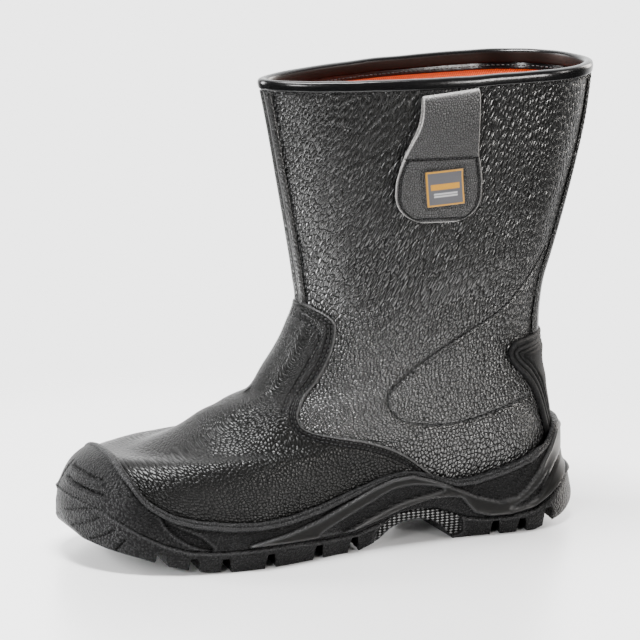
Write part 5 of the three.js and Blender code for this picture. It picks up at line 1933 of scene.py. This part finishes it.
        # Painted shade in the fins, petals, steps and round the arch panel's border (groove mark); painted
        # highlight along the top edge and the arch panel's rim (lip mark).
        side = shape.add(points, flow=np.stack([x, z, 0 * x], axis=-1), lattice=smooth(arch, 0.4, 1.2),
                         groove=np.clip(fins + petals + steps + bell(arch, 0.6), 0, 1),
                         lip=0.8 * bell(z - top + 1.3, 0.7) + 0.6 * bell(arch + 0.9, 0.6))
        shape.join(side, wrap=True)
        shape.cap(side[-1])
        half = self.columns // 2
        left = points[0, : half + 1]
        right = np.vstack([points[0, :1], points[0, :half - 1:-1]])
        share = np.linspace(0, 1, self.across + 1)[None, 1:-1, None]
        under = left[1:-1, None] * (1 - share) + right[1:-1, None] * share
        under[..., 2] = np.minimum(self._tread_floor(under[..., 0], under[..., 1]),
                                   self.line(SPLIT_LINE, under[..., 0]) - 1.5)
        grid = np.column_stack([side[0, 1:half], shape.add(under), side[0, :half:-1]])
        shape.join(grid)
        shape.face([side[0, 0], *grid[0]], turn=True)
        shape.face([side[0, half], *grid[-1]])
        return shape.build(finish, "tread_rubber", ["outsole"], crease=42.0)


# ---------------------------------------------------------------------------------------------
# The studio
# ---------------------------------------------------------------------------------------------


@dataclass(frozen=True)
class SoftLight:
    """One soft light of the studio."""

    name: str
    place: tuple[float, float, float]
    aim: tuple[float, float, float]
    size: tuple[float, float]
    watts: float
    colour: Colour = (1.0, 1.0, 1.0)

    def hang(self) -> None:
        """Puts the light in the scene."""
        lamp = bpy.data.lights.new(self.name, "AREA")
        lamp.shape = "RECTANGLE"
        lamp.size, lamp.size_y = self.size
        lamp.energy = self.watts
        lamp.color = self.colour
        held = bpy.data.objects.new(self.name, lamp)
        held.location = self.place
        held.rotation_euler = (Vector(self.aim) - Vector(self.place)).to_track_quat("-Z", "Y").to_euler()
        bpy.context.scene.collection.objects.link(held)


@dataclass
class Studio:
    """Pale floor, soft lights and the camera at the photograph's angle."""

    azimuth: float = -24.06
    elevation: float = 12.67
    roll: float = 0.89
    distance: float = 1.7572
    lens: float = 177.84
    sensor: float = 36.0
    target: tuple[float, float, float] = (-0.10382, 0.0, 0.12349)
    sky: float = 0.05
    backdrop: float = 3.6
    glow: float = 3.0
    floor_reach: float = 0.44

    def camera(self) -> None:
        """Sets up the camera."""
        turn, lift, roll = (math.radians(k) for k in (self.azimuth, self.elevation, self.roll))
        back = Vector((math.sin(turn) * math.cos(lift), -math.cos(turn) * math.cos(lift), math.sin(lift)))
        level = (-back).cross(Vector((0, 0, 1))).normalized()
        up = level.cross(-back)
        right = level * math.cos(roll) + up * math.sin(roll)
        upward = up * math.cos(roll) - level * math.sin(roll)
        data = bpy.data.cameras.new("photo_camera")
        data.lens = self.lens
        data.sensor_width = self.sensor
        data.clip_start, data.clip_end = 0.05, 60.0
        held = bpy.data.objects.new("photo_camera", data)
        held.rotation_mode = "QUATERNION"
        held.rotation_quaternion = Matrix((right, upward, back)).transposed().to_quaternion()
        held.location = Vector(self.target) + back * self.distance
        bpy.context.scene.collection.objects.link(held)
        bpy.context.scene.camera = held

    def floor(self) -> None:
        """Lays the pale, faintly glossy floor, which fades into the backdrop at its rim."""
        mesh = bpy.data.meshes.new("studio_floor")
        reach, x = self.floor_reach, self.target[0]
        corners = [(x + right * reach, up * reach, 0) for right, up in ((-1, -1), (1, -1), (1, 1), (-1, 1))]
        mesh.from_pydata(corners, [], [(0, 1, 2, 3)])
        floor = bpy.data.objects.new("studio_floor", mesh)
        bpy.context.scene.collection.objects.link(floor)
        g = Graph("studio_floor")
        centred = g.vector("SUBTRACT", g.node("ShaderNodeTexCoord", {}, {}, "Object"), (x, 0.0, 0.0))
        away = g.node("ShaderNodeVectorMath", {"operation": "LENGTH"}, {0: centred}, "Value")
        g.put(g.shader.inputs["Alpha"], away.eased(0.66 * reach, 0.98 * reach, 1.0, 0.0))
        mesh.materials.append(g.dress((0.95, 0.95, 0.95), 0.32, Metallic=0.3))

    def world(self) -> None:
        """Gives the room a white backdrop that also glows softly behind the boot."""
        world = bpy.data.worlds.new("studio_world")
        world.use_nodes = True
        bpy.context.scene.world = world
        nodes, links = world.node_tree.nodes, world.node_tree.links
        back = next(n for n in nodes if n.type == "BACKGROUND")
        back.inputs["Color"].default_value = (1, 1, 1, 1)
        turn = math.radians(self.azimuth)
        facing = nodes.new("ShaderNodeVectorMath")
        facing.operation = "DOT_PRODUCT"
        links.new(nodes.new("ShaderNodeTexCoord").outputs["Generated"], facing.inputs[0])
        facing.inputs[1].default_value = (-math.sin(turn), math.cos(turn), 0.25)
        glow = nodes.new("ShaderNodeMapRange")
        glow.interpolation_type = "SMOOTHSTEP"
        links.new(facing.outputs["Value"], glow.inputs[0])
        for socket, value in ((1, 0.35), (2, 0.95), (3, self.sky), (4, self.glow)):
            glow.inputs[socket].default_value = value
        level = nodes.new("ShaderNodeMapRange")
        links.new(nodes.new("ShaderNodeLightPath").outputs["Is Camera Ray"], level.inputs[0])
        links.new(glow.outputs[0], level.inputs[3])
        level.inputs[4].default_value = self.backdrop
        links.new(level.outputs[0], back.inputs["Strength"])

    def lights(self) -> None:
        """Hangs the soft lights."""
        for light in (
            SoftLight("top", (-0.3, -0.1, 1.6), (-0.15, 0, 0.0), (0.8, 0.36), 84.0),
            SoftLight("right_front", (0.66, -1.4, 0.4), (0.0, 0, 0.16), (0.3, 0.35), 19.0, (1.0, 0.97, 0.94)),
            SoftLight("right_side", (1.2, -0.85, 0.75), (0.0, 0, 0.2), (0.25, 0.5), 9.0, (1.0, 0.96, 0.92)),
            SoftLight("right_back", (1.3, 0.5, 0.6), (0.0, 0, 0.17), (0.5, 0.8), 19.0, (1.0, 0.93, 0.86)),
            SoftLight("left_back", (-1.3, 0.7, 0.5), (-0.12, 0, 0.13), (0.5, 0.9), 56.0),
            SoftLight("left_front", (-1.2, -1.1, 0.75), (-0.12, 0, 0.2), (0.25, 0.5), 18.0),
        ):
            light.hang()

    def build(self) -> None:
        """Builds the whole studio."""
        self.camera()
        self.floor()
        self.world()
        self.lights()


def main() -> None:
    """Builds the boot piece by piece and reports each one."""
    logging.basicConfig(level=logging.INFO, format="%(name)s: %(message)s")
    Studio().build()
    leather = GrainLeather("shaft_leather").material()
    vamp_leather = GrainLeather("vamp_leather", gloss=0.26, relief=0.5, pebble_width=1.6, pebble_length=2.0,
                                shine=0.22).material()
    strap_leather = GrainLeather("strap_leather", colour=(0.011, 0.011, 0.0115), valley_shade=(0.002, 0.002, 0.002),
                                 edge_highlight=(0.34, 0.33, 0.32), pebble_width=1.2, pebble_length=1.4,
                                 relief=0.42, gloss=0.42).material()
    strip_leather = GrainLeather("strip_leather", relief=0.3, pebble_width=1.6, pebble_length=2.4).material()
    satin = SmoothTrim("binding_tape").material()
    rubber = MouldedRubber("sole_rubber").material()
    guard_rubber = MouldedRubber("guard_rubber", colour=(0.003, 0.003, 0.0031), grit=0.05, roughness=0.68,
                                 band_roughness=0.52).material()
    thread = SewingThread("sewing_thread").material()
    shaft, vamp, sole, label = Shaft(), Vamp(), Sole(), Label()
    work: list[tuple[Callable[[bpy.types.Material], bpy.types.Object], bpy.types.Material]] = [
        (shaft.leather_tube, leather),
        (shaft.lining, RibbedLining("orange_lining").material()),
        (shaft.binding, satin),
        (shaft.facing, satin),
        (shaft.piping, strip_leather),
        (shaft.stay, strip_leather),
        (shaft.thread, thread),
        (vamp.panel, vamp_leather),
        (vamp.thread, thread),
        (HeelGuard().build, guard_rubber),
        (label.build, WovenPatch("woven_patch").material()),
        (label.thread, thread),
        (Footbed().build, FeltFootbed("felt").material()),
        (sole.body, rubber),
        (sole.tread, rubber),
    ]
    for side in Side:
        loop = PullLoop(side)
        work += [(loop.build, strap_leather), (loop.thread, thread)]
    for make, finish in work:
        piece = make(finish)
        LOG.info("%s: %d faces", piece.name, len(piece.data.polygons))


if __name__ == "__main__":
    main()
